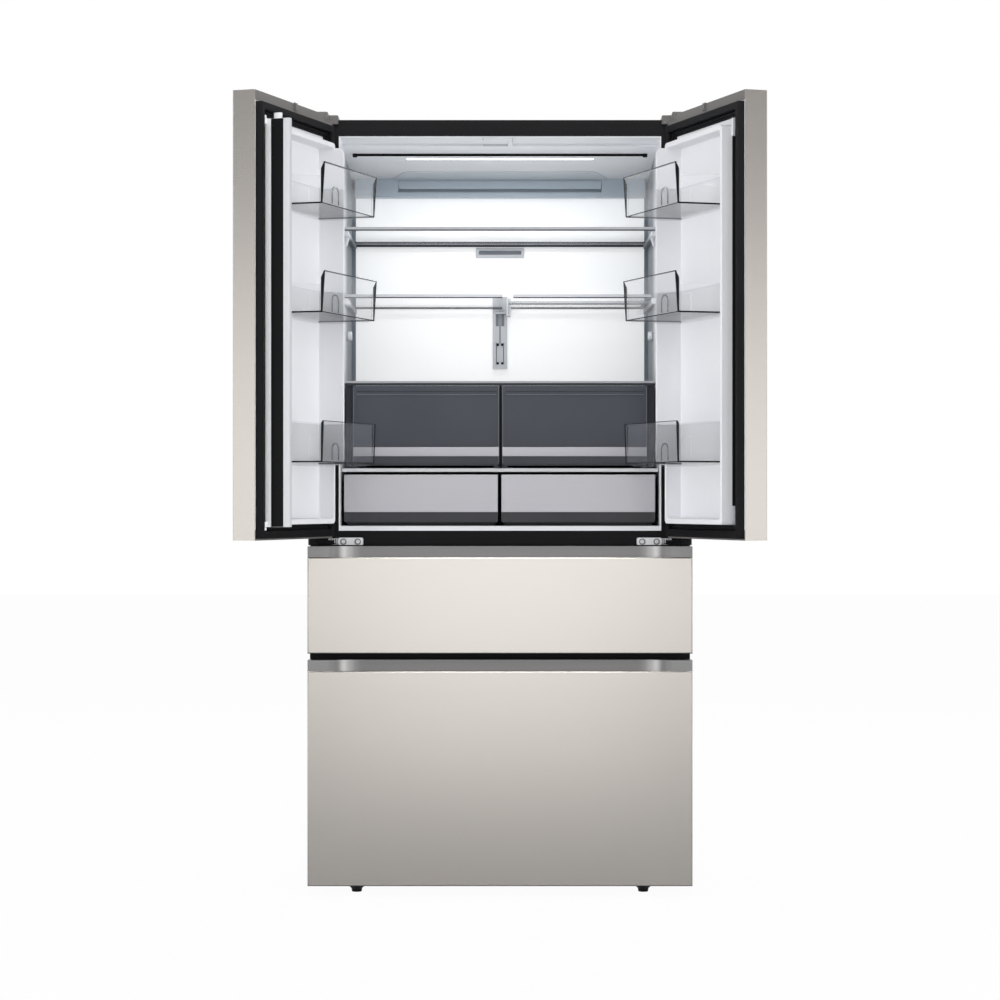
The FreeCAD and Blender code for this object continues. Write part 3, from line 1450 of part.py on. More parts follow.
def export_parts():
    os.makedirs("parts", exist_ok=True)
    for item in nodes:
        item.Shape.exportStep(f"parts/{item.Label}.step")
        print(f"{item.Label}: {len(item.Shape.Solids)} solids, {item.Shape.Volume / 1000:.1f} cm3")


fill_sheet()
build_case()
build_front_frame()
build_foam()
build_liners()
build_rear()
build_base()
build_feet()
build_rollers()
build_machinery()
build_evaporator()
build_back_wall()
build_ceiling()
build_shelves()
build_shelf_brackets()
build_storage_frame()
build_storage_drawers()
build_doors()
build_hinges()
build_drawers()
document.recompute()
check_document()
export_parts()
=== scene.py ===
"""A refrigerator with two upper doors, a convertible middle drawer and a lower freezer drawer."""
import json
import math

import bpy
from mathutils import Matrix, Vector


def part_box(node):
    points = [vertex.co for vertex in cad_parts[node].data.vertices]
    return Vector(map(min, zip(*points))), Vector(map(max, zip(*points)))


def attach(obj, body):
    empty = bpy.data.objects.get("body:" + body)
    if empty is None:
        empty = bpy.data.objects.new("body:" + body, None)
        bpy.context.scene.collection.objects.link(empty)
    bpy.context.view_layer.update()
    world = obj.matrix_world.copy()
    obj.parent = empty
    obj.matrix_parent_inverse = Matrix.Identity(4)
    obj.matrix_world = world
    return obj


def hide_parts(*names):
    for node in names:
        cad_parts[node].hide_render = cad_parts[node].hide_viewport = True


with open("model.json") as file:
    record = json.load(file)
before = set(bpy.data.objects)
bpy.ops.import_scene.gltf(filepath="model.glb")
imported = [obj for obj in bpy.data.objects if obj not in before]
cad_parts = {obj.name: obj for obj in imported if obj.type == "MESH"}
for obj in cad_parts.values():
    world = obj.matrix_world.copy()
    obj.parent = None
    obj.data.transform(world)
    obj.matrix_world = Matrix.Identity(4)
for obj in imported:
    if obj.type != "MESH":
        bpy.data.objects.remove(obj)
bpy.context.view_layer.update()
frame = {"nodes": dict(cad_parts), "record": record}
nodes = frame["nodes"]
bpy.context.scene.view_settings.view_transform = "Standard"


# Finishes, in metres

# Heights, in metres, over which the clear bins lose their painted shade from the lowest bins upwards
PAINTED_SHADE_LOW = 1.1
PAINTED_SHADE_RISE = 0.5


class Wire:
    """A socket of a finish, so that shader maths reads as a plain expression."""

    def __init__(self, finish, socket):
        self.finish = finish
        self.socket = socket

    def math(self, operation, first, second):
        """A maths node fed by wires or plain values."""
        return self.finish.add("ShaderNodeMath", {"operation": operation}, {0: first, 1: second})

    def __add__(self, other):
        return self.math("ADD", self, other)

    def __sub__(self, other):
        return self.math("SUBTRACT", self, other)

    def __mul__(self, other):
        return self.math("MULTIPLY", self, other)

    def __truediv__(self, other):
        return self.math("DIVIDE", self, other)

    def __pow__(self, other):
        return self.math("POWER", self, other)

    __radd__ = __add__
    __rmul__ = __mul__


class Finish:
    """A procedural material: one principled surface and the nodes that feed it."""

    def __init__(self, name, **constants):
        self.material = bpy.data.materials.new(name)
        self.material.use_nodes = True
        self.tree = self.material.node_tree
        self.tree.nodes.clear()
        self.surface = self.tree.nodes.new("ShaderNodeBsdfPrincipled")
        self.output = self.tree.nodes.new("ShaderNodeOutputMaterial")
        self.tree.links.new(self.surface.outputs[0], self.output.inputs[0])
        self.place = self.add("ShaderNodeTexCoord", outlet="Object")
        for name, value in constants.items():
            self.set(name.replace("_", " ").title(), value)

    def add(self, kind, settings=None, sockets=None, outlet=0):
        """A node from its type, its settings and the values or links of its sockets."""
        node = self.tree.nodes.new(kind)
        for name, value in (settings or {}).items():
            if name == "stops":
                ramp = node.color_ramp.elements
                for i, (position, colour) in enumerate(value):
                    stop = ramp[i] if i < 2 else ramp.new(position)
                    stop.position = position
                    stop.color = colour
            else:
                setattr(node, name, value)
        for key, value in (sockets or {}).items():
            self.feed(node.inputs[key], value)
        return Wire(self, node.outputs[outlet])

    def feed(self, socket, value):
        """Link a wire to a socket, or set the socket to a plain value."""
        if isinstance(value, Wire):
            self.tree.links.new(value.socket, socket)
        else:
            socket.default_value = value

    def set(self, name, value):
        """Feed one socket of the principled surface."""
        self.feed(self.surface.inputs[name.replace("Ior", "IOR")], value)

    def stretched(self, scale):
        """The object's coordinates, scaled along each axis."""
        return self.add("ShaderNodeMapping", None, {"Vector": self.place, "Scale": scale})

    def noise(self, scale, detail, vector=None):
        """Noise over the object, or over another vector."""
        return self.add("ShaderNodeTexNoise", None,
                        {"Vector": vector or self.place, "Scale": scale, "Detail": detail})

    def axis(self, which):
        """One of the object's coordinates, in metres."""
        return self.add("ShaderNodeSeparateXYZ", None, {0: self.place}, which)

    def mix(self, factor, first, second):
        """A colour between two others."""
        return self.add("ShaderNodeMix", {"data_type": "RGBA"}, {0: factor, 6: first, 7: second}, 2)

    def bump(self, height, depth, strength):
        """Let a height show in how the surface takes light."""
        self.set("Normal", self.add("ShaderNodeBump", None,
                                    {"Strength": strength, "Distance": depth, "Height": height}))


def tone(red, green, blue):
    """A colour written as it looks, from 0 to 255, as the light that gives it."""
    def light(level):
        share = level / 255
        return share / 12.92 if share <= 0.04045 else ((share + 0.055) / 1.055) ** 2.4
    return (light(red), light(green), light(blue), 1.0)


def satin_metal(name, dark, light, roughness, grain, metallic=0.6):
    """Rolled steel with a fine satin grain that runs across the front."""
    finish = Finish(name, metallic=metallic, specular_ior_level=0.3)
    lines = finish.noise(1.0, 1.0, finish.stretched(grain))
    clouds = finish.noise(3.0, 1.0)
    finish.set("Base Color", finish.mix(lines * 0.7 + clouds * 0.3, tone(*dark), tone(*light)))
    finish.set("Roughness", lines * 0.008 + (roughness - 0.004))
    finish.bump(lines, 0.00001, 0.04)
    return finish


def metal_with_painted_light(name, levels, start, reach):
    """Grip metal with painted light: painted shade across the hand recess, and a painted highlight where it
    bends back into the recess at both ends.

    Each level is a share of the reach, measured outwards from the start, and how bright it is there.
    """
    finish = Finish(name, metallic=0.7, specular_ior_level=0.3)
    across = finish.axis("X")
    along = ((across * across) ** 0.5 - start) / reach
    stops = [(place, tone(level, level - 1, level - 1)) for place, level in levels]
    painted_ramp = finish.add("ShaderNodeValToRGB", {"stops": stops}, {0: along})
    lines = finish.noise(1.0, 1.0, finish.stretched((4, 4, 1200)))
    finish.set("Base Color", finish.mix(lines * 0.05, painted_ramp, tone(255, 255, 255)))
    finish.set("Roughness", lines * 0.02 + 0.34)
    finish.bump(lines, 0.00001, 0.04)
    return finish


def moulded(name, dark, light, roughness, shine=0.5, pebble=500, depth=0.0001):
    """Moulded or painted stock with a faint pebble in its skin."""
    finish = Finish(name, specular_ior_level=shine)
    skin = finish.noise(pebble, 2.0)
    clouds = finish.noise(5.0, 2.0)
    finish.set("Base Color", finish.mix(clouds, tone(*dark), tone(*light)))
    finish.set("Roughness", skin * 0.1 + (roughness - 0.05))
    finish.bump(skin, depth, 0.3)
    return finish


def clear_stock(name, tint, face_on, edge_on, roughness, low_painted_shade=None):
    """Clear glass or plastic: it hides little seen face on, and more towards its edges.

    Where a low colour is given, it is painted shade: the stock takes it at the lowest bins and loses it
    towards the highest.
    """
    finish = Finish(name, specular_ior_level=0.5)
    facing = finish.add("ShaderNodeLayerWeight", None, {"Blend": 0.35}, "Facing")
    haze = finish.noise(6.0, 2.0)
    rise = (finish.axis("Z") - PAINTED_SHADE_LOW) / PAINTED_SHADE_RISE
    finish.set("Base Color", finish.mix(rise + haze * 0.1, tone(*(low_painted_shade or tint)), tone(*tint)))
    finish.set("Roughness", haze * 0.06 + roughness)
    finish.set("Alpha", facing ** 1.6 * (edge_on - face_on) + face_on)
    return finish


def shaded_wall(name, pale, dim, start, fade):
    """Wall plastic with painted shade: pale at the mouth of the room, turning to a cool grey further in."""
    finish = Finish(name, specular_ior_level=0.2)
    skin = finish.noise(500.0, 2.0)
    inwards = (finish.axis("Y") - start) / fade
    finish.set("Base Color", finish.mix(inwards + skin * 0.05, tone(*pale), tone(*dim)))
    finish.set("Roughness", skin * 0.1 + 0.35)
    finish.bump(skin, 0.0001, 0.3)
    return finish


def glowing(name, colour, strength, fade):
    """A lit diffuser, a little dimmer where its lamps are further apart."""
    finish = Finish(name, roughness=0.5)
    spots = finish.noise(fade, 1.0)
    bright = tone(*colour)
    shade = tuple(0.93 * level for level in bright[:3]) + (1.0,)
    light = finish.mix(spots, shade, bright)
    finish.set("Base Color", light)
    finish.set("Emission Color", light)
    finish.set("Emission Strength", strength)
    return finish


# Painted shade across the grip recess, rising to a painted highlight on its bends, then the flush ends
GRIP_PAINTED_LEVELS = ((0.0, 118), (0.1, 120), (0.3, 139), (0.5, 182), (0.64, 208), (0.71, 200), (0.84, 137),
               (0.92, 126), (1.0, 137))
# Slot or name of each finish, how it is made, and what its maker is told
FINISH_TABLE = (
    ("satin_skin", satin_metal, "satin steel skin", (204, 199, 193), (208, 203, 197), 0.27, (6, 6, 700), 0.9),
    ("grip_metal", satin_metal, "grip strip metal", (134, 133, 133), (146, 145, 145), 0.34, (4, 4, 1200),
     0.7),
    ("grip_painted_shine", metal_with_painted_light, "grip bends", GRIP_PAINTED_LEVELS, 0.325, 0.07),
    ("hinge_steel", satin_metal, "hinge steel", (120, 118, 114), (160, 158, 154), 0.35, (200, 200, 200)),
    ("plate_steel", satin_metal, "hinge plate steel", (186, 187, 190), (214, 215, 218), 0.3, (120, 120, 120)),
    ("silver_plate", satin_metal, "brushed silver plate", (182, 181, 186), (194, 193, 198), 0.42,
     (8, 8, 1500)),
    ("coil", satin_metal, "coil aluminium", (150, 150, 150), (190, 190, 190), 0.4, (300, 300, 300)),
    ("case_paint", moulded, "case paint", (168, 166, 161), (180, 177, 172), 0.42, 0.5, 500, 0.0002),
    ("foam", moulded, "insulating foam", (214, 196, 140), (232, 216, 166), 0.9, 0.5, 260, 0.002),
    ("cap_grey", moulded, "door cap plastic", (106, 104, 102), (116, 114, 112), 0.5, 0.2, 900),
    ("seal_black", moulded, "gasket rubber", (14, 14, 16), (22, 22, 24), 0.6, 0.1, 700),
    ("frame_black", moulded, "front frame paint", (12, 12, 14), (20, 20, 22), 0.4, 0.1, 600),
    ("black_plastic", moulded, "black plastic", (14, 14, 16), (22, 22, 24), 0.5, 0.1, 700),
    ("liner_white", moulded, "room liner plastic", (226, 228, 232), (234, 236, 239), 0.4, 0.25),
    ("foamed_white", moulded, "door liner plastic", (224, 225, 229), (233, 234, 237), 0.4, 0.25),
    ("flap_white", moulded, "flap plastic", (190, 192, 195), (198, 200, 203), 0.4, 0.3),
    ("flap_edge", moulded, "flap edge", (246, 247, 249), (250, 251, 253), 0.4, 0.3),
    ("basket", moulded, "drawer box plastic", (214, 217, 222), (226, 229, 233), 0.4),
    ("side_wall", shaded_wall, "side wall plastic", (228, 230, 234), (98, 106, 114), 0.1, 0.16),
    ("rear_wall", moulded, "rear wall plastic", (132, 142, 152), (142, 152, 162), 0.4, 0.2),
    ("ceiling_painted_shade", moulded, "ceiling moulding", (204, 210, 215), (212, 218, 223), 0.4, 0.2),
    ("column_grey", moulded, "column plastic", (198, 201, 206), (206, 209, 214), 0.4),
    ("duct_grey", moulded, "duct plastic", (176, 188, 199), (184, 196, 206), 0.45, 0.2),
    ("filter_dark", moulded, "filter grille dark", (118, 124, 131), (128, 134, 141), 0.5, 0.2),
    ("panel_white", glowing, "lit back panel", (243, 244, 245), 0.39, 2.0),
    ("lamp_lens", glowing, "lamp lens", (255, 255, 255), 2.5, 9.0),
    ("shelf_glass", clear_stock, "shelf glass", (226, 234, 234), 0.03, 0.12, 0.03),
    ("shelf_nose", moulded, "shelf nose", (178, 180, 184), (188, 190, 194), 0.35),
    ("trim_grey", moulded, "shelf trim plastic", (150, 152, 156), (166, 168, 172), 0.35, 0.5, 600),
    ("bright_trim", moulded, "bright trim", (208, 209, 212), (220, 221, 224), 0.3),
    ("dark_trim", moulded, "dark shelf seal", (52, 55, 60), (62, 65, 70), 0.4, 0.2),
    ("slate", moulded, "slate drawer plastic", (73, 76, 85), (83, 86, 95), 0.3, 0.25, 600),
    ("slate_edge", moulded, "slate edge", (112, 115, 122), (122, 125, 132), 0.3, 0.3),
    ("slate_shade", moulded, "slate groove", (46, 48, 54), (54, 56, 62), 0.4, 0.2),
    ("pantry_dark", moulded, "pantry plastic", (60, 60, 64), (70, 70, 74), 0.35, 0.2, 600),
    # The last colour is painted shade on the lowest bins
    ("clear_bin", clear_stock, "clear bin plastic", (240, 242, 246), 0.05, 0.2, 0.06, (142, 146, 152)),
    ("bin_edge", moulded, "bin edge plastic", (16, 17, 19), (24, 25, 28), 0.2, 0.12, 300),
    ("bin_edge_soft", clear_stock, "bin end plastic", (196, 200, 206), 0.5, 0.9, 0.08),
    ("bin_clip", clear_stock, "bin clip plastic", (120, 124, 130), 0.6, 0.9, 0.08),
    ("pale_cloth", moulded, "pale flag cloth", (146, 146, 146), (154, 154, 154), 0.9, 0.1, 40, 0.001),
    ("grey_cloth", moulded, "grey flag cloth", (132, 132, 132), (140, 140, 140), 0.9, 0.1, 40, 0.001),
    ("dark_cloth", moulded, "dark flag cloth", (100, 100, 100), (108, 108, 108), 0.9, 0.1, 40, 0.001),
)
finishes = {name: make(*told) for name, make, *told in FINISH_TABLE}


def paint(piece, name):
    """Give a whole piece or solid one finish."""
    piece.data.materials.clear()
    piece.data.materials.append(finishes[name].material)
    return piece


for part in frame["record"]["subparts"]:
    paint(nodes[part["node"]], part["material_slot"])
paint(nodes["shelf_column"], "column_grey")


# Modelling, in millimetres

LEFT, RIGHT = -1, 1
FRONTS = -137.0
OPEN_ANGLE = math.radians(108.4)
HINGE_X, HINGE_BACK = 444, 10
SMOOTH_ANGLE = math.radians(35)


def settle():
    """Leave edit mode with nothing selected."""
    if bpy.context.object and bpy.context.object.mode == "EDIT":
        bpy.ops.object.mode_set(mode="OBJECT")
    bpy.ops.object.select_all(action="DESELECT")


def select(*pieces):
    """Leave edit mode and select some pieces, the first of them active."""
    settle()
    for piece in pieces:
        piece.select_set(True)
    bpy.context.view_layer.objects.active = pieces[0]


def block(name, x, y, z):
    """A block between two corners, to shape further."""
    settle()
    low, high = (Vector(corner) / 1000 for corner in zip(x, y, z))
    bpy.ops.mesh.primitive_cube_add(size=1, location=(low + high) / 2, scale=high - low)
    bpy.ops.object.transform_apply(location=True, rotation=True, scale=True)
    piece = bpy.context.object
    piece.name = name
    return piece


def rod(name, centre, radius, length, axis, sides=32):
    """A round bar about its centre, along one axis."""
    settle()
    turns = {"x": (0, math.pi / 2, 0), "y": (math.pi / 2, 0, 0), "z": (0, 0, 0)}
    bpy.ops.mesh.primitive_cylinder_add(vertices=sides, radius=radius / 1000, depth=length / 1000,
                                        location=Vector(centre) / 1000, rotation=turns[axis])
    bpy.ops.object.transform_apply(location=True, rotation=True, scale=True)
    piece = bpy.context.object
    piece.name = name
    return piece


def choose(piece, kind, test):
    """Enter edit mode with the faces or edges that pass a test on their place and direction."""
    select(piece)
    bpy.ops.object.mode_set(mode="EDIT")
    bpy.ops.mesh.select_mode(type=kind)
    bpy.ops.mesh.select_all(action="DESELECT")
    bpy.ops.object.mode_set(mode="OBJECT")
    mesh = piece.data
    if kind == "FACE":
        for face in mesh.polygons:
            face.select = test(face.center * 1000, face.normal)
    else:
        for edge in mesh.edges:
            first, last = (mesh.vertices[i].co for i in edge.vertices)
            edge.select = test((first + last) * 500, (last - first).normalized())
    bpy.ops.object.mode_set(mode="EDIT")


def facing(axis, way):
    """A test for the faces that look one way along an axis."""
    index = "xyz".index(axis)
    return lambda mid, normal: normal[index] * way > 0.9


def taper(piece, axis, way, scale, centre=(0, 0, 0)):
    """Scale the faces that look one way about a centre, so that a piece tapers towards them."""
    choose(piece, "FACE", facing(axis, way))
    bpy.ops.transform.resize(value=scale, center_override=tuple(Vector(centre) / 1000))
    settle()


def round_edges(piece, radius, test, segments=5):
    """Round the edges that pass a test on their middle and direction."""
    choose(piece, "EDGE", test)
    bpy.ops.mesh.bevel(offset=radius / 1000, segments=segments, affect="EDGES", clamp_overlap=True)
    settle()
    return piece


def edges_along(axis, test=None):
    """A test for the edges that run along one axis."""
    index = "xyz".index(axis)
    return lambda mid, way: abs(way[index]) > 0.99 and (test is None or test(mid))


def apply_modifier(piece, kind, **settings):
    """Put a modifier on a piece and make its result the piece's own mesh."""
    select(piece)
    modifier = piece.modifiers.new(kind.lower(), kind)
    for name, value in settings.items():
        setattr(modifier, name, value)
    bpy.ops.object.modifier_apply(modifier=modifier.name)
    return piece


def carve(piece, cutter):
    """Take the shape of one piece out of another."""
    apply_modifier(piece, "BOOLEAN", operation="DIFFERENCE", solver="EXACT", object=cutter)
    bpy.data.objects.remove(cutter)
    return piece


def cut_out(piece, x, y, z, radius=0.0, axis="z"):
    """Take out a block, with its edges along one axis rounded."""
    cutter = block("cutter", x, y, z)
    if radius:
        round_edges(cutter, radius, edges_along(axis))
    return carve(piece, cutter)


def soften(piece, width, segments=2, angle=40):
    """Break every sharp edge with a small round."""
    return apply_modifier(piece, "BEVEL", width=width / 1000, segments=segments, limit_method="ANGLE",
                          angle_limit=math.radians(angle), use_clamp_overlap=True)


def slab(name, x, y, z, soft, segments=2):
    """A block with every edge softened."""
    return soften(block(name, x, y, z), soft, segments)


def raise_faces(height):
    """Draw the chosen faces upwards out of their piece, or down into it."""
    bpy.ops.mesh.extrude_region_move(TRANSFORM_OT_translate={"value": (0, 0, height / 1000)})


def tub(name, x, y, z, wall, corner):
    """A box open at its top, with round upright corners and a round foot."""
    piece = round_edges(block(name, x, y, z), corner, edges_along("z"))
    choose(piece, "FACE", facing("z", -1))
    bpy.ops.mesh.bevel(offset=min(corner, 8) / 1000, segments=4, affect="EDGES")
    choose(piece, "FACE", facing("z", 1))
    bpy.ops.mesh.inset(thickness=wall / 1000)
    raise_faces(wall - (z[1] - z[0]))
    settle()
    return soften(piece, 1.2)


def joined(name, *pieces):
    """Make several pieces one, under one name."""
    select(*pieces)
    bpy.ops.object.join()
    pieces[0].name = name
    return pieces[0]


def mirrored(piece):
    """Turn a piece over to the other side of the cabinet."""
    piece.data.transform(Matrix.Scale(-1, 4, (1, 0, 0)))
    piece.data.flip_normals()
    return piece


def copied(piece, name, shift=(0, 0, 0), mirror=False):
    """A copy with its own mesh, moved, or mirrored across the middle of the cabinet."""
    twin = bpy.data.objects.new(name, piece.data.copy())
    bpy.context.scene.collection.objects.link(twin)
    twin.data.transform(Matrix.Translation(Vector(shift) / 1000))
    return mirrored(twin) if mirror else twin


def hang(piece, side):
    """Turn a door piece, modelled closed about its hinge axis, to where it stands open."""
    if side == RIGHT:
        mirrored(piece)
    hinge = Vector((side * HINGE_X, FRONTS + HINGE_BACK, 0)) / 1000
    piece.data.transform(Matrix.Translation(hinge) @ Matrix.Rotation(side * OPEN_ANGLE, 4, "Z"))
    return piece


def between(side, near, far):
    """A stretch across one side of the cabinet, from the lower x to the higher."""
    return sorted((side * near, side * far))


def mark(piece, name, test):
    """Give the faces that pass a test another finish."""
    piece.data.materials.append(finishes[name].material)
    index = len(piece.data.materials) - 1
    for face in piece.data.polygons:
        if test(face.center * 1000, face.normal):
            face.material_index = index


def dress(piece, body, slot, *instead_of):
    """Finish a piece: smooth it, paint it, and set it on its body in place of its solids."""
    select(piece)
    bpy.ops.object.shade_smooth_by_angle(angle=SMOOTH_ANGLE)
    apply_modifier(piece, "WEIGHTED_NORMAL", keep_sharp=True)
    if not piece.data.materials:
        paint(piece, slot)
    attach(piece, body)
    if instead_of:
        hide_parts(*instead_of)
    settle()
    return piece


def deep(front, back):
    """A stretch behind the plane of the closed fronts."""
    return (FRONTS + front, FRONTS + back)


# Upper doors, modelled closed: x from the hinge axis to the free edge, y from it to the rear

BIN_LEVELS = (1024, 1356, 1597)
BIN_SPAN = (72, 392)
BIN_REAR, BIN_FRONT = 44.5, 184
BIN_HIGH = 92
LINER_Y = 44
SEAL_SPAN, SEAL_Z = (9, 438), (854, 1823)
FLAP_Z = (880, 1786)


def lean(piece, reach):
    """Draw the top of a bin's shield outwards."""
    choose(piece, "FACE", lambda mid, normal: mid.z > BIN_HIGH - 1 and mid.y > BIN_FRONT - 9)
    bpy.ops.transform.translate(value=(0, reach / 1000, 0))
    settle()
    return piece


def model_bin(end_height, reach):
    """A clear door bin: a tall front shield, lower sloping ends, and a floor that bulges below them."""
    body = block("bin", BIN_SPAN, (BIN_REAR, BIN_FRONT), (0, BIN_HIGH))
    round_edges(body, 3, edges_along("z", lambda mid: mid.y > 100), 2)
    round_edges(body, 2.5, lambda mid, way: mid.z < 0.1, 2)
    cut_out(body, (75, 389), (47.5, 181), (3, 100), 4)
    ends = block("cutter", (60, 404), (30, 179.5), (end_height, 130))
    choose(ends, "FACE", lambda mid, normal: True)
    bpy.ops.transform.rotate(value=math.radians(5), orient_axis="X",
                             center_override=(0.232, 0.18, end_height / 1000))
    settle()
    carve(body, ends)
    soften(body, 0.5, 1)
    lean(body, reach)
    paint(body, "clear_bin")
    mark(body, "bin_edge", lambda mid, normal: abs(normal.x) > 0.3 and mid.y > BIN_FRONT - 5 and mid.z > 3)
    mark(body, "bin_edge_soft", lambda mid, normal: normal.z > 0.6 and mid.z > 50)
    floor = block("bin floor", (80, 384), (54, 178), (-6, 0.5))
    round_edges(floor, 14, edges_along("z"))
    round_edges(floor, 5, lambda mid, way: mid.z < -5.9, 4)
    paint(floor, "clear_bin")
    clip = block("bin clip", (294, 336), (183.4, 185.4), (4, 44))
    round_edges(clip, 16, edges_along("y", lambda mid: mid.z > 26), 6)
    inside = block("cutter", (298, 332), (180, 190), (0, 40))
    round_edges(inside, 12, edges_along("y", lambda mid: mid.z > 26), 6)
    carve(clip, inside)
    paint(soften(clip, 0.4), "bin_clip")
    edges = []
    for x in ((71.8, 74), (389.8, 392.2)):
        edges.append(slab("end edge", x, (BIN_REAR, BIN_FRONT), (-0.6, 3), 0.3))
        edges.append(slab("corner edge", x, (182.3, 184.2), (0, BIN_HIGH), 0.3))
    edges.append(slab("low edge", BIN_SPAN, (182.4, 184.2), (-0.2, 1.8), 0.3))
    edges.append(slab("top edge", BIN_SPAN, (182.8, 184.2), (90.8, 92.2), 0.3))
    for edge in edges:
        lean(paint(edge, "bin_edge"), reach)
    return joined("bin", body, floor, clip, *edges)


def model_door_liner(edge):
    """The white inner door: a foamed panel, a deep round-cornered pocket, and a taller dyke by the hinge."""
    inside_low, inside_high = 897, 1762
    panel = block("panel", (-12, 441), (-9, LINER_Y), (873, 1825))
    pocket = block("pocket", (65, 442 - edge), (43, 84), (inside_low - 12, inside_high + 12))
    round_edges(pocket, 10, edges_along("y"))
    cut_out(pocket, (71.5, 392.4), (44.6, 95), (inside_low, inside_high), 9, "y")
    soften(pocket, 2.2, 3, 50)
    dyke = block("tall dyke", (64.85, 71.65), (43, 107), (1022, inside_high))
    round_edges(dyke, 16, edges_along("x", lambda mid: mid.y > 100), 6)
    soften(dyke, 2, 3, 50)
    pads = []
    for level in BIN_LEVELS:
        for x in ((330, 391), (73, 134)):
            pads.append(slab("bin pad", x, (LINER_Y, 46.4), (level + 12, level + 66), 1.6, 3))
    return joined("inner door", panel, pocket, dyke, *pads)


def model_gasket():
    """A soft magnetic seal: a flat flange, and a fat bulb with a fold between them."""
    flange = block("flange", SEAL_SPAN, (LINER_Y, 47), SEAL_Z)
    cut_out(flange, (47, 400), (40, 50), (884, 1793))
    soften(flange, 0.8)
    bulb = block("bulb", SEAL_SPAN, (46, 59.6), SEAL_Z)
    round_edges(bulb, 5, edges_along("y"))
    cut_out(bulb, (26, 421), (40, 62), (871, 1806), 4, "y")
    soften(bulb, 4, 4, 50)
    fold = block("fold", (27.5, 419.5), (46, 51), (872.5, 1804.5))
    cut_out(fold, (33, 414), (40, 55), (878, 1799), 3, "y")
    soften(fold, 2, 3, 50)
    return joined("gasket", flange, bulb, fold)


def build_flap():
    """The mullion flap: a white bar with a black steel face let into it, folded against the left door."""
    low, high = FLAP_Z
    bar = block("flap bar", (398, 412), (54, 115), FLAP_Z)
    round_edges(bar, 4, edges_along("z"), 4)
    cut_out(bar, (410.9, 415), (69.6, 99.4), (870, 1800))
    soften(bar, 1, 2, 50)
    # The bar takes a darkened copy of the white plastic as painted shade, and its strip by the door takes a
    # brighter copy as painted light
    paint(bar, "flap_white")
    mark(bar, "flap_edge", lambda mid, normal: mid.y < 70)
    face = block("flap face", (410.6, 412), (70, 99), (low + 0.6, high - 0.6))
    paint(soften(face, 0.5), "frame_black")
    cam = block("flap cam", (401, 409), (74.3, 94.2), (high - 2, high + 13))
    round_edges(cam, 3.5, edges_along("z"), 4)
    paint(soften(cam, 1), "liner_white")
    lugs = []
    for foot in (low, high - 12):
        lug = rod("flap lug", (415.7, 56.2, foot + 6), 3.8, 12, "z")
        web = block("lug web", (410, 415.7), (54.2, 60), (foot, foot + 12))
        lugs += [paint(soften(lug, 0.5), "liner_white"), paint(soften(web, 0.5), "liner_white")]
    flap = hang(joined("mullion_flap", bar, face, cam, *lugs), LEFT)
    dress(flap, "flap", "liner_white", "flap_housing", "flap_face")


def build_door(body, side, edge):
    """What a door carries inside: three bins, the inner door, the seal, and the clip on its top cap."""
    low_bin, high_bin = model_bin(86, 3), model_bin(60, 6)
    for i, (mould, level) in enumerate(zip((low_bin, high_bin, high_bin), BIN_LEVELS)):
        tray = hang(copied(mould, f"{body}_bin_{i + 1}", (0, 0, level)), side)
        dress(tray, body, "clear_bin", *([f"{body}_bins"] if i == 0 else []))
    for mould in (low_bin, high_bin):
        bpy.data.objects.remove(mould)

    inner = model_door_liner(edge)
    if side == LEFT:
        for z in ((872.2, 879.7), (1786.3, 1793.8)):
            inner = joined("inner door", inner, slab("flap ear", (410.8, 420.7), (43, 59.3), z, 1.2))
    inner.name = f"{body}_inner_door"
    dress(hang(inner, side), body, "foamed_white", f"{body}_liner")

    gasket = model_gasket()
    gasket.name = f"{body}_seal"
    dress(hang(gasket, side), body, "seal_black", f"{body}_gasket")

    clip = block(f"{body}_cap_clip", (207, 220), (43, 49), (1831, 1850))
    round_edges(clip, 4, edges_along("x", lambda mid: mid.y > 48), 4)
    dress(hang(soften(clip, 0.8), side), body, "cap_grey")


def build_strike():
    """The black strike strip beside the right door's pocket, under a white stop block."""
    strip = slab("right_door_strike", (399.5, 402.5), (46.5, 57), (927, 1749), 0.8)
    dress(hang(strip, RIGHT), "right_door", "seal_black")
    stop = slab("right_door_stop", (398, 403.5), (45, 58.5), (1749, 1790), 2, 3)
    dress(hang(stop, RIGHT), "right_door", "foamed_white")


# Drawers below

FRONT_SPAN = (-456.5, 456.5)
FRONT_DEPTH = 54
BOX_START = 54.2


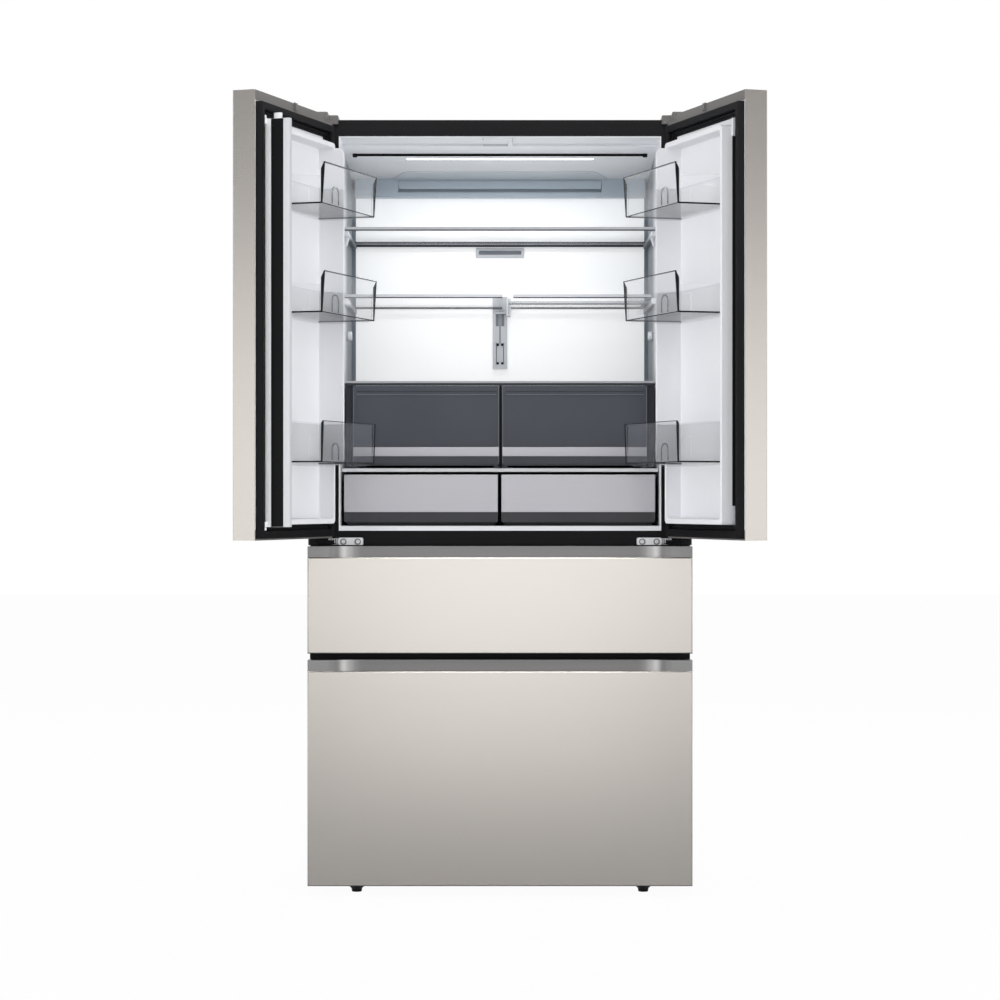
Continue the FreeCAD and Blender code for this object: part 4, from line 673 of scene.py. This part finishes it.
def build_drawer(bay, panel, box_back, box_z, rail_low):
    """A steel front with its grip strip, its seal, and the box behind it on its rails."""
    low, high = panel
    body = f"{bay}_drawer"
    front = block(f"{body}_panel", FRONT_SPAN, deep(0, FRONT_DEPTH), panel)
    round_edges(front, 3, lambda mid, way: mid.y < FRONTS + 0.1, 4)
    cut_out(front, (-455.4, 455.4), deep(1.2, 60), (low + 1, high - 1))
    paint(front, "satin_skin")
    # The bottom faces of the panel take the dark seal finish, a dark line along its lower edge
    mark(front, "dark_trim", lambda mid, normal: normal.z < -0.3 and mid.z < low + 2)
    dress(front, body, "satin_skin", f"{body}_front")

    grip = block(f"{body}_handle", FRONT_SPAN, deep(7, FRONT_DEPTH), (high, high + 26))
    recess = block("cutter", (-398, 398), deep(6, 29), (high - 5, high + 40))
    taper(recess, "y", 1, (0.915, 1, 1))
    round_edges(recess, 16, edges_along("z", lambda mid: mid.y > FRONTS + 20), 10)
    carve(grip, recess)
    round_edges(grip, 16, edges_along("z", lambda mid: mid.y < FRONTS + 8 and 380 < abs(mid.x) < 405), 10)
    round_edges(grip, 6, edges_along("x", lambda mid: mid.z > high + 20 and mid.y < FRONTS + 40), 5)
    paint(soften(grip, 0.8), "grip_metal")
    # Faces that look forward take the painted shade of the recess and the painted highlight on its bends
    mark(grip, "grip_painted_shine", lambda mid, normal: normal.y < -0.1)
    dress(grip, body, "grip_metal", f"{body}_grip")

    corners = [corner * 1000 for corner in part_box(f"{body}_gasket")]
    x, y, z = zip(*corners)
    seal = block(f"{body}_seal", x, y, z)
    round_edges(seal, 5, edges_along("y"))
    width = 16
    cut_out(seal, (x[0] + width, x[1] - width), (y[0] - 5, y[1] + 5), (z[0] + width, z[1] - width), 4, "y")
    dress(soften(seal, 4, 4, 50), body, "seal_black", f"{body}_gasket")

    span, depth, top = (-378, 378), deep(BOX_START, box_back), box_z[1]
    box = tub(f"{body}_tub", span, depth, box_z, 4, 22)
    rim = block("rim", span, depth, (top - 6, top))
    round_edges(rim, 22, edges_along("z"))
    cut_out(rim, (-370, 370), deep(62, box_back - 8), (top - 20, top + 20), 15)
    parts = [paint(box, "basket"), paint(soften(rim, 1.5, 3), "basket")]
    for side in (LEFT, RIGHT):
        rail = block("rail", between(side, 377.5, 388.2), depth, (rail_low + 6, rail_low + 30))
        cut_out(rail, between(side, 384, 392), deep(50, box_back + 5), (rail_low + 12, rail_low + 24))
        parts.append(paint(soften(rail, 0.8), "hinge_steel"))
    dress(joined(f"{body}_tub", *parts), body, "basket", f"{body}_box")


def build_tray():
    """The shallow upper tray of the freezer drawer, hung from the box by its rims."""
    depth, top = deep(62, 330), 403.2
    parts = [tub("freezer_upper_tray", (-370, 370), depth, (312, top), 3, 16)]
    for side in (LEFT, RIGHT):
        parts.append(slab("tray rim", between(side, 366, 377.8), depth, (400.4, top), 1, 3))
        parts.append(slab("tray divider", between(side, 121.5, 124.5), deep(64, 328), (314, 380), 1))
    dress(joined("freezer_upper_tray", *parts), "freezer_tray", "basket", "freezer_tray")


# Refrigerator room

SHELF_SPAN = (-380, 380)
LEFT_HALF, RIGHT_HALF = (-380, 6), (22, 380)
ROOM_SIDE = 383
UPPER_SHELF, HALF_SHELF, SHELF_FRONT = 1599, 1434, 205
SLIDE_SPAN = (32.3, 369.7)
RUNNER_LOW = 1420.7
SLOPE_START, SLOPE_HIGH, SLOPE = 181, 1802, 38 / 429


def build_crisper(body, x):
    """A slate drawer with a sunk front panel, a silver strip and a deep box."""
    left, right = x
    face = block(f"{body}_front", x, deep(200, 212), (1024, 1219))
    round_edges(face, 7, edges_along("y", lambda mid: mid.z < 1030))
    cut_out(face, (left + 9, right - 7), deep(190, 201.5), (1071, 1206), 2, "y")
    cut_out(face, (left + 13, right - 11), deep(190, 202.6), (1071, 1198), 2, "y")
    parts = [paint(soften(face, 1, 3, 50), "slate")]
    strip = slab("strip", (left + 0.6, right - 0.6), deep(199.2, 201.5), (1047, 1069), 0.6)
    parts.append(paint(strip, "silver_plate"))
    # Lighter lines at the face's ends, over the sunk panel and at its foot are painted highlights, and the
    # dark line along its top is painted shade in the groove
    for start in (left + 0.4, right - 2.4):
        edge = slab("edge", (start, start + 2), deep(199.8, 202), (1030, 1217), 0.5)
        parts.append(paint(edge, "slate_edge"))
    for z, name in ((1196.6, "slate_edge"), (1204.8, "slate_shade"), (1025.2, "slate_edge")):
        line = slab("line", (left + 9, right - 7), deep(200, 203), (z, z + 1.6), 0.4)
        parts.append(paint(line, name))
    box = tub("box", (left + 4, right - 4), deep(211.5, 585), (1024.2, 1200), 3, 14)
    dress(joined(f"{body}_front", *parts, paint(box, "slate")), body, "slate", body)


def build_pantry(body, x):
    """A shallow drawer with a brushed plate over its dark front."""
    left, right = x
    face = block(f"{body}_front", x, deep(110, 122), (886, 1001))
    round_edges(face, 5, edges_along("y", lambda mid: mid.z < 890))
    paint(soften(face, 1.2, 3, 50), "pantry_dark")
    plate = block("plate", (left + 0.4, right - 0.4), deep(109.2, 111), (911, 1001))
    paint(soften(plate, 0.7), "silver_plate")
    box = tub("box", (left + 4, right - 4), deep(121.5, 590), (878.2, 981), 3, 12)
    dress(joined(f"{body}_front", face, plate, paint(box, "pantry_dark")), body, "slate", body)


def ceiling(depth):
    """Height of the room's sloping ceiling at a depth behind the fronts."""
    return SLOPE_HIGH - SLOPE * (depth - SLOPE_START)


def on_ceiling(piece, depth):
    """Lay a piece modelled about height 0 on the sloping ceiling."""
    place = Vector((0, (FRONTS + depth) / 1000, 0))
    tilt = Matrix.Rotation(-math.atan(SLOPE), 4, "X")
    lift = Matrix.Translation(place + Vector((0, 0, ceiling(depth) / 1000)))
    piece.data.transform(lift @ tilt @ Matrix.Translation(-place))
    return piece


def build_ceiling():
    """The lamp lens, the dark slot with its round ends, and the shallow moulding before the duct, whose grey
    is painted shade.
    """
    lens = on_ceiling(slab("lamp lens", (-232, 232), deep(320, 331), (-0.9, 1), 0.6, 3), 326)
    slot_back, slot_length = 268, 716
    slot = rod("slot bar", (0, FRONTS + slot_back, -2), 3.8, slot_length, "x", 24)
    parts = [paint(lens, "lamp_lens"), paint(on_ceiling(slot, slot_back), "frame_black")]
    for side in (LEFT, RIGHT):
        end = rod("slot end", (side * slot_length / 2, FRONTS + slot_back, -3.5), 6, 9, "z")
        parts.append(paint(on_ceiling(soften(end, 1.5, 3), slot_back), "frame_black"))
    dress(joined("ceiling_lights", *parts), "cabinet", "lamp_lens", "ceiling_lamp")

    # A thin moulding where the ceiling falls into shade before the duct; its grey is painted shade
    cover = block("ceiling_moulding", (-281, 281), deep(468, 559), (-1.6, 1.6))
    taper(cover, "y", -1, (0.86, 1, 1))
    round_edges(cover, 16, edges_along("z", lambda mid: mid.y < FRONTS + 475), 6)
    on_ceiling(soften(cover, 1.4, 4), 514)
    dress(paint(cover, "ceiling_painted_shade"), "cabinet", "liner_white")


def build_flap_guide():
    """The ceiling block whose groove turns the mullion flap as the door shuts."""
    guide = block("guide", (-41, 30), deep(75, 150), (1796, 1808))
    cut_out(guide, (-60, 20), deep(60, 140), (1780, 1802), 6)
    paint(soften(guide, 0.8, 3), "liner_white")
    # The rear wall of the groove is painted grey, painted shade inside the groove
    mark(guide, "column_grey", lambda mid, normal: normal.y < -0.6 and mid.y > FRONTS + 130)
    seams = [slab("seam", (-41, -40), deep(74.6, 80), (1802.4, 1808), 0.2),
             slab("seam", (29.4, 30.4), deep(74.6, 80), (1796.4, 1808), 0.2)]
    parts = [paint(seam, "trim_grey") for seam in seams]
    dress(joined("flap_guide_block", guide, *parts), "cabinet", "liner_white", "flap_guide")


def build_rear_fittings():
    """The vent's louvre, the filter's grille, and the slots of the shelf column."""
    louvre = slab("vent_louvre", (-261, 261), deep(557.5, 562), (1741.5, 1763), 1.6, 3)
    dress(louvre, "cabinet", "duct_grey")

    rim = block("filter rim", (-63, 63), deep(594.5, 601.8), (1568, 1593))
    round_edges(rim, 3, edges_along("y"))
    cut_out(rim, (-55, 55), deep(580, 620), (1576, 1586), 2, "y")
    bars = [block("filter back", (-56, 56), deep(599.5, 601.5), (1575, 1587))]
    for x in range(-48, 49, 8):
        bars.append(slab("filter fin", (x - 1, x + 1), deep(597.5, 600), (1576, 1586), 0.3))
    bars = [paint(bar, "filter_dark") for bar in bars]
    grille = joined("filter_grille_face", paint(soften(rim, 1.2, 3, 50), "column_grey"), *bars)
    dress(grille, "cabinet", "duct_grey", "filter_grille")

    slots = [block("slot line", (-1.1, 1.1), deep(589.4, 590.4), (1347, 1420))]
    for x in (-5.6, 5.6):
        for z in (1294, 1342):
            slots.append(block("slot hole", (x - 2.6, x + 2.6), deep(589.4, 591), (z - 3, z + 3)))
    slots += [block("slot rim", (x - 0.6, x + 0.6), deep(589.4, 591), (1291, 1347)) for x in (-9.6, 9.6)]
    dress(soften(joined("column_slots", *slots), 0.3), "cabinet", "frame_black")
    pads = [slab("pad", (x - 4, x + 4), deep(589.2, 590.6), (1390, 1422), 0.6) for x in (-7, 7)]
    dress(paint(joined("column_pads", *pads), "filter_dark"), "cabinet", "duct_grey")


def model_nose(x, front, back, seal, nose):
    """The front of a shelf: a pale nose over a dark seal, each given by its heights."""
    return [paint(slab("nose", x, deep(front, back), nose, 1, 3), "shelf_nose"),
            paint(slab("seal", x, deep(front + 0.8, back), seal, 0.4), "dark_trim")]


def build_shelf_edges():
    """Shelf edges: pale noses over a dark seal in front, dark rails with a paler lip behind."""
    bars = []
    fronts = ((SHELF_SPAN, UPPER_SHELF, SHELF_FRONT), (LEFT_HALF, HALF_SHELF, SHELF_FRONT),
              (RIGHT_HALF, HALF_SHELF, 422))
    for x, level, front in fronts:
        bars += model_nose(x, front, front + 8, (level, level + 2.8), (level + 2.6, level + 9))
    rears = ((SHELF_SPAN, 1594.5, 1608), (LEFT_HALF, HALF_SHELF, 1439), (RIGHT_HALF, HALF_SHELF, 1439))
    for x, low, high in rears:
        bars.append(paint(slab("rail", x, deep(580.6, 588), (low, high), 0.8), "dark_trim"))
        lip = (low * 0.55 + high * 0.45, low * 0.35 + high * 0.65)
        bars.append(paint(slab("lip", x, deep(580, 583), lip, 0.4), "trim_grey"))
    bars += model_nose(SHELF_SPAN, 200, 206, (1219.6, 1226), (1225.6, 1231))
    dress(joined("shelf_edges", *bars), "cabinet", "trim_grey", "shelf_trims")


def build_wall_fittings():
    """Pale trim on the storage frame, bosses and shelf lugs on the side walls."""
    trim = slab("storage_frame_trim", (-381, 381), deep(107.5, 114), (1007.8, 1016.2), 1.2, 3)
    dress(paint(trim, "bright_trim"), "cabinet", "trim_grey")
    for side, name in ((LEFT, "left"), (RIGHT, "right")):
        boss = soften(rod("boss", (side * 377, FRONTS + 372, 1351), 12, 12, "x"), 3, 4)
        lug = block("lug", between(side, 370.5, ROOM_SIDE), deep(286, 303), (1569, 1598.5))
        taper(lug, "z", -1, (0.3, 1, 1), (side * ROOM_SIDE, 0, 0))
        dress(joined(f"{name}_wall_fittings", boss, soften(lug, 1.5, 3)), "cabinet", "liner_white")


def build_shelf_supports():
    """Ledges on the walls, clear runners for the half shelves, and their hook at the column."""
    y = deep(215, 588)
    parts = []
    for side in (LEFT, RIGHT):
        x = between(side, 371, ROOM_SIDE)
        # The ledges take the side walls' painted shade
        parts.append(paint(slab("upper ledge", x, y, (1590, UPPER_SHELF), 1.5, 3), "side_wall"))
        parts.append(paint(slab("lower ledge", x, y, (RUNNER_LOW, HALF_SHELF), 1.5, 3), "side_wall"))
    flat = RUNNER_LOW + 6
    runners = (((352, ROOM_SIDE), flat), ((6.3, 21.7), 1443), ((-4, 8), HALF_SHELF), ((20, 32), HALF_SHELF),
               ((22, 50), flat))
    for x, high in runners:
        parts.append(paint(slab("runner", x, y, (RUNNER_LOW, high), 1), "shelf_glass"))
    hook = slab("hook", (16, 28), deep(560, 590), (1414, 1460), 2.5, 4)
    parts.append(paint(hook, "liner_white"))
    parts.append(paint(slab("hook seam", (21.4, 22.8), deep(559.4, 562), (1418, 1456), 0.3), "trim_grey"))
    parts.append(paint(slab("arm", (-10.6, 20), deep(580, 590), (RUNNER_LOW, flat), 1), "column_grey"))
    dress(joined("shelf_supports", *parts), "cabinet", "liner_white", "shelf_brackets")


def build_slide_shelf():
    """The right front pane, which slides back over the rear one, with a nose like the other shelves."""
    pane = paint(slab("pane", SLIDE_SPAN, deep(212.5, 422), (1427, 1432), 0.8), "shelf_glass")
    web = paint(slab("web", SLIDE_SPAN, deep(206, 213), (1427, 1434.5), 0.6), "shelf_glass")
    nose = model_nose(SLIDE_SPAN, SHELF_FRONT, 213, (1434, 1436.8), (1436.6, 1443))
    dress(joined("sliding_half_shelf", pane, web, *nose), "slide_shelf", "shelf_glass", "slide_shelf")


def model_lower_hinge():
    """The left lower hinge plate with its two ringed screws and the ribbed check spring beside it."""
    plate = block("plate", (-387, -327.5), deep(65, 68), (832, 850))
    round_edges(plate, 4, edges_along("y"))
    parts = [paint(soften(plate, 0.8), "plate_steel")]
    level = 840.5
    for x in (-374.5, -340):
        ring = rod("ring", (x, FRONTS + 64.6, level), 6.6, 1.6, "y")
        head = rod("head", (x, FRONTS + 64, level), 5, 2.4, "y")
        cut_out(head, (x - 3, x + 3), deep(60, 63.6), (level - 0.7, level + 0.7))
        cut_out(head, (x - 0.7, x + 0.7), deep(60, 63.6), (level - 3, level + 3))
        parts += [paint(soften(ring, 0.4), "slate_shade"), paint(soften(head, 0.8), "plate_steel")]
    for step in range(6):
        x = -410 + step * 4.2
        rib = slab("spring rib", (x, x + 2.6), deep(61, 67), (836.5, 848.5), 1, 3)
        parts.append(paint(rib, "plate_steel"))
    parts.append(paint(slab("spring bed", (-412, -387), deep(63, 67), (838, 847), 1), "slate_shade"))
    return joined("left_lower_hinge_plate", *parts)


def tint(name, slot, test):
    """Give the faces of a solid that pass a test on their place another finish."""
    mark(nodes[name], slot, test)


def finish_solids():
    """Paint shade into the side and rear walls of the room, darken the middle and the posts of the storage
    frame, and black the lower hinge arms, which stay as they are modelled.
    """
    tint("fridge_liner", "side_wall", lambda mid, normal: abs(normal.x) > 0.9 and abs(mid.x) < 384)
    tint("fridge_liner", "rear_wall", lambda mid, normal: normal.y < -0.9 and mid.y > FRONTS + 600)
    tint("storage_frame", "frame_black", lambda mid, normal: abs(mid.x - 1.5) < 6 and mid.z > 1017)
    tint("storage_frame", "slate_shade", lambda mid, normal: abs(mid.x) > 355 and mid.z > 1017)
    tint("door_hinges", "frame_black", lambda mid, normal: mid.z < 900 and abs(mid.x) > 388)


# Outside of the cabinet

CASE_SIDE, CASE_TOP, CASE_BACK = 455, 1850, 560.98
SHEET_SIDE, SHEET_Y = 453.6, (560.1, 560.9)
SHEET_Z, COVER_Z = (290.8, 1848.6), (34.4, 289.2)
THROUGH = (540, 580)


def model_screw(x, z):
    """A pan-head screw that faces backwards, with a cross in its head."""
    head = rod("screw", (x, 560.5, z), 4.6, 0.9, "y", 24)
    cut_out(head, (x - 3, x + 3), (560.6, 562), (z - 0.6, z + 0.6))
    cut_out(head, (x - 0.6, x + 0.6), (560.6, 562), (z - 3, z + 3))
    return paint(soften(head, 0.25), "hinge_steel")


def press_fields(sheet, z, columns):
    """Press shallow fields into the back of a sheet, side by side."""
    middle, border = sum(z) / 2, 30
    half = SHEET_SIDE - border

    def inside(mid, normal):
        return normal.y > 0.9 and abs(mid.z - middle) < 5 and abs(mid.x) < half - 3

    choose(sheet, "FACE", facing("y", 1))
    bpy.ops.mesh.inset(thickness=border / 1000)
    for i in range(1, columns):
        choose(sheet, "FACE", inside)
        place = half * (2 * i / columns - 1) / 1000
        bpy.ops.mesh.bisect(plane_co=(place, 0, 0), plane_no=(1, 0, 0))
    choose(sheet, "FACE", inside)
    bpy.ops.mesh.inset(thickness=0.014, use_individual=True)
    bpy.ops.mesh.inset(thickness=0.002, depth=-0.0007, use_individual=True)
    settle()


def build_case():
    """The painted steel wrapper, with its long folds rounded."""
    wrap = block("outer_wrap", (-CASE_SIDE, CASE_SIDE), (-64, CASE_BACK), (30, CASE_TOP))
    round_edges(wrap, 3, edges_along("y", lambda mid: mid.z > CASE_TOP - 50), 5)
    cut_out(wrap, (1 - CASE_SIDE, CASE_SIDE - 1), (-90, 590), (0, CASE_TOP - 1))
    dress(soften(wrap, 0.3, 1), "cabinet", "case_paint", "outer_case")


def build_rear():
    """The pressed rear sheet, and the slotted cover of the machine room with its screws and mains inlet."""
    sheet = block("rear sheet", (-SHEET_SIDE, SHEET_SIDE), SHEET_Y, SHEET_Z)
    press_fields(sheet, SHEET_Z, 3)
    cover = block("machine cover", (-SHEET_SIDE, SHEET_SIDE), SHEET_Y, COVER_Z)
    for low in range(60, 260, 26):
        cut_out(cover, (-305, -215), THROUGH, (low, low + 8), 3.9, "y")
    cut_out(cover, (394.5, 429.5), THROUGH, (179.5, 206.5))
    parts = [paint(sheet, "case_paint"), paint(soften(cover, 0.3, 1), "case_paint")]
    socket = block("inlet", (395, 429), (535, CASE_BACK), (180, 206))
    round_edges(socket, 3, edges_along("y"), 4)
    cut_out(socket, (398, 426), (545, 570), (183, 203), 3, "y")
    parts.append(paint(soften(socket, 0.6), "black_plastic"))
    for x, z in ((405, 190), (419, 190), (412, 197)):
        pin = slab("pin", (x - 1, x + 1), (540, 556), (z - 2.4, z + 2.4), 0.4)
        parts.append(paint(pin, "hinge_steel"))
    screw_rows = {278: (-438, -219, 0, 219, 438), 46: (-438, 0, 438), 304: (-300, 0, 300),
                  1836: (-438, -146, 146, 438)}
    for z, row in screw_rows.items():
        parts += [model_screw(x, z) for x in row]
    dress(joined("rear_sheets", *parts), "cabinet", "case_paint", "rear_panels")


def build_foot(side, name):
    """A levelling foot: a tapered pad, a flange to turn it by, and its threaded stem."""
    x, y = side * 344, FRONTS + 92
    pad, widening, flange, stem = 8, 4, 13, 31
    foot = rod(f"{name}_pad", (x, y, pad / 2), 13, pad, "z", 48)
    taper(foot, "z", -1, (0.9, 0.9, 1), (x, y, 0))
    choose(foot, "FACE", facing("z", 1))
    raise_faces(widening)
    taper(foot, "z", 1, (1.34, 1.34, 1), (x, y, 0))
    choose(foot, "FACE", facing("z", 1))
    raise_faces(flange)
    bpy.ops.mesh.inset(thickness=0.0125)
    raise_faces(stem)
    settle()
    dress(soften(foot, 0.7, 3, 20), name, "black_plastic", name)


def model_hinge_cover():
    """The right top hinge cover: a nose over the door's pin and a body that sits on the case."""
    top = CASE_TOP + 9.98
    cover = block("cover", (387, CASE_SIDE), (FRONTS, 28), (1839, top))
    cut_out(cover, (360, 408), (-160, -79), (1800, 1900))
    round_edges(cover, 4, edges_along("z"), 5)
    cut_out(cover, (300, 500), (-67, 100), (1800, CASE_TOP))
    soften(cover, 2, 4)
    carve(cover, rod("cutter", (421, 12, 1860), 5.5, 7, "z"))
    return cover


def build_hinge_covers():
    """The pair of top hinge covers."""
    right = model_hinge_cover()
    left = copied(right, "left cover", mirror=True)
    dress(joined("hinge_cover_pair", right, left), "cabinet", "cap_grey", "top_hinge_covers")


# Studio, in metres but for the flags

WHITE = (1.0, 1.0, 1.0, 1.0)
SOFT_LIGHT = 0.55
PAPER_GLOW = 0.96


def build_world():
    """White for the camera and in what mirrors or shows it, and a softer light on everything else."""
    world = bpy.data.worlds.new("studio")
    bpy.context.scene.world = world
    world.use_nodes = True
    tree = world.node_tree
    tree.nodes.clear()
    path = tree.nodes.new("ShaderNodeLightPath")
    seen = path.outputs["Is Camera Ray"]
    for ray in ("Is Glossy Ray", "Is Transmission Ray"):
        either = tree.nodes.new("ShaderNodeMath")
        either.operation = "MAXIMUM"
        tree.links.new(seen, either.inputs[0])
        tree.links.new(path.outputs[ray], either.inputs[1])
        seen = either.outputs[0]
    mixed = tree.nodes.new("ShaderNodeMixShader")
    tree.links.new(seen, mixed.inputs[0])
    for inlet, strength in ((1, SOFT_LIGHT), (2, 1.0)):
        background = tree.nodes.new("ShaderNodeBackground")
        background.inputs["Color"].default_value = WHITE
        background.inputs["Strength"].default_value = strength
        tree.links.new(background.outputs[0], mixed.inputs[inlet])
    output = tree.nodes.new("ShaderNodeOutputWorld")
    tree.links.new(mixed.outputs[0], output.inputs[0])


def build_floor():
    """A pale paper floor that nearly melts into the white behind it, and still takes a soft shadow."""
    settle()
    bpy.ops.mesh.primitive_plane_add(size=40)
    floor = bpy.context.object
    floor.name = "studio_floor"
    paper = Finish("pale paper", roughness=0.9)
    paper.set("Base Color", tone(240, 240, 240))
    seen = paper.add("ShaderNodeLightPath", outlet="Is Camera Ray")
    gloss = paper.add("ShaderNodeLightPath", outlet="Is Glossy Ray")
    clear = paper.add("ShaderNodeLightPath", outlet="Is Transmission Ray")
    glow = paper.add("ShaderNodeEmission", None, {"Color": WHITE, "Strength": 1.0})
    both = paper.add("ShaderNodeMixShader", None, {0: (seen + gloss + clear) * PAPER_GLOW, 2: glow})
    paper.tree.links.new(paper.surface.outputs[0], both.socket.node.inputs[1])
    paper.tree.links.new(both.socket, paper.output.inputs[0])
    floor.data.materials.append(paper.material)


def build_flags():
    """Cloths on the floor and high in front, in millimetres, which only polished surfaces mirror."""
    flags = [paint(block("studio_low_flag", (-600, 600), (-2500, -130), (2, 6)), "pale_cloth"),
             paint(block("studio_high_flag", (-22000, 22000), (-9010, -9000), (2450, 16000)), "dark_cloth")]
    for side in (LEFT, RIGHT):
        flag = block(f"studio_side_flag_{side + 1}", between(side, 600, 3000), (-7000, -130), (2, 6))
        flags.append(paint(flag, "grey_cloth"))
    for flag in flags:
        flag.visible_camera = False
        flag.visible_diffuse = False
        flag.visible_shadow = False
        flag.visible_transmission = False


def lamp(name, place, aim, size, power, diffuse=True, glossy=True):
    """An area lamp out of the camera's sight, which may be kept off dull or off polished surfaces."""
    light = bpy.data.lights.new(name, "AREA")
    light.shape = "RECTANGLE"
    light.size, light.size_y = size
    light.energy = power
    holder = bpy.data.objects.new(name, light)
    holder.location = place
    holder.rotation_euler = (Vector(aim) - Vector(place)).to_track_quat("-Z", "Y").to_euler()
    holder.visible_camera = False
    holder.visible_diffuse = diffuse
    holder.visible_glossy = glossy
    bpy.context.scene.collection.objects.link(holder)


def build_lamps():
    """Panels for the sheen of the fronts, a key, fills and a rim lamp, and the lamps inside the room."""
    for width, away, power in ((4.2, 9.8, 9.5), (2.4, 9.7, 6.5), (1.2, 9.6, 3.2)):
        place, aim = (0.0, -away, 0.9), (0.0, 0.0, 0.9)
        lamp(f"front panel {width}", place, aim, (width, 1.8), power, diffuse=False)
    lamp("key lamp", (0.4, -5.6, 2.6), (0.0, 0.0, 1.1), (2.4, 1.6), 60, glossy=False)
    for side in (LEFT, RIGHT):
        place, aim = (side * 4.2, -2.8, 0.9), (-side * 0.5, -0.3, 1.0)
        lamp(f"fill lamp {side}", place, aim, (1.6, 1.6), 108, glossy=False)
        place, aim = (side * 6.9, -7.4, 1.2), (side * 0.5, -0.4, 1.1)
        lamp(f"edge panel {side}", place, aim, (5.0, 2.2), 17, diffuse=False)
    lamp("rim lamp", (0.0, -2.4, 3.6), (0.0, -0.1, 0.8), (3.2, 1.6), 170, diffuse=False)
    lamp("rear lamp", (0.0, 4.5, 3.4), (0.0, 0.3, 0.9), (3.0, 2.0), 60)
    lamp("room lamp", (0.0, 0.17, 1.745), (0.0, 0.2, 1.0), (0.5, 0.05), 0.75)
    lamp("room bounce", (0.0, 0.0, 1.3), (0.0, 0.25, 1.8), (0.6, 0.15), 1.0, glossy=False)


def build_camera():
    """The camera as it was fitted to the photograph."""
    camera = bpy.data.cameras.new("camera")
    camera.sensor_width = 36.0
    camera.lens = 95.76
    holder = bpy.data.objects.new("camera", camera)
    holder.location = (0.0, -6.437, 0.940)
    holder.rotation_euler = (math.radians(90), 0.0, 0.0)
    bpy.context.scene.collection.objects.link(holder)
    bpy.context.scene.camera = holder


# Build

build_door("left_door", LEFT, 47)
build_door("right_door", RIGHT, 42)
build_flap()
build_strike()
build_drawer("middle", (576, 804), 560, (612, 775), 634)
build_drawer("freezer", (25, 534), 450, (80, 400), 262)
build_tray()
build_crisper("left_crisper", (-359.5, -2))
build_crisper("right_crisper", (5, 359.5))
build_pantry("left_pantry", (-376, -5))
build_pantry("right_pantry", (3, 374))
build_ceiling()
build_flap_guide()
build_rear_fittings()
build_shelf_edges()
build_wall_fittings()
build_shelf_supports()
build_slide_shelf()
hinge_plate = model_lower_hinge()
dress(copied(hinge_plate, "right_lower_hinge_plate", mirror=True), "cabinet", "hinge_steel")
dress(hinge_plate, "cabinet", "hinge_steel")
finish_solids()
build_case()
build_rear()
build_hinge_covers()
build_foot(LEFT, "left_foot")
build_foot(RIGHT, "right_foot")
build_world()
build_floor()
build_flags()
build_lamps()
build_camera()
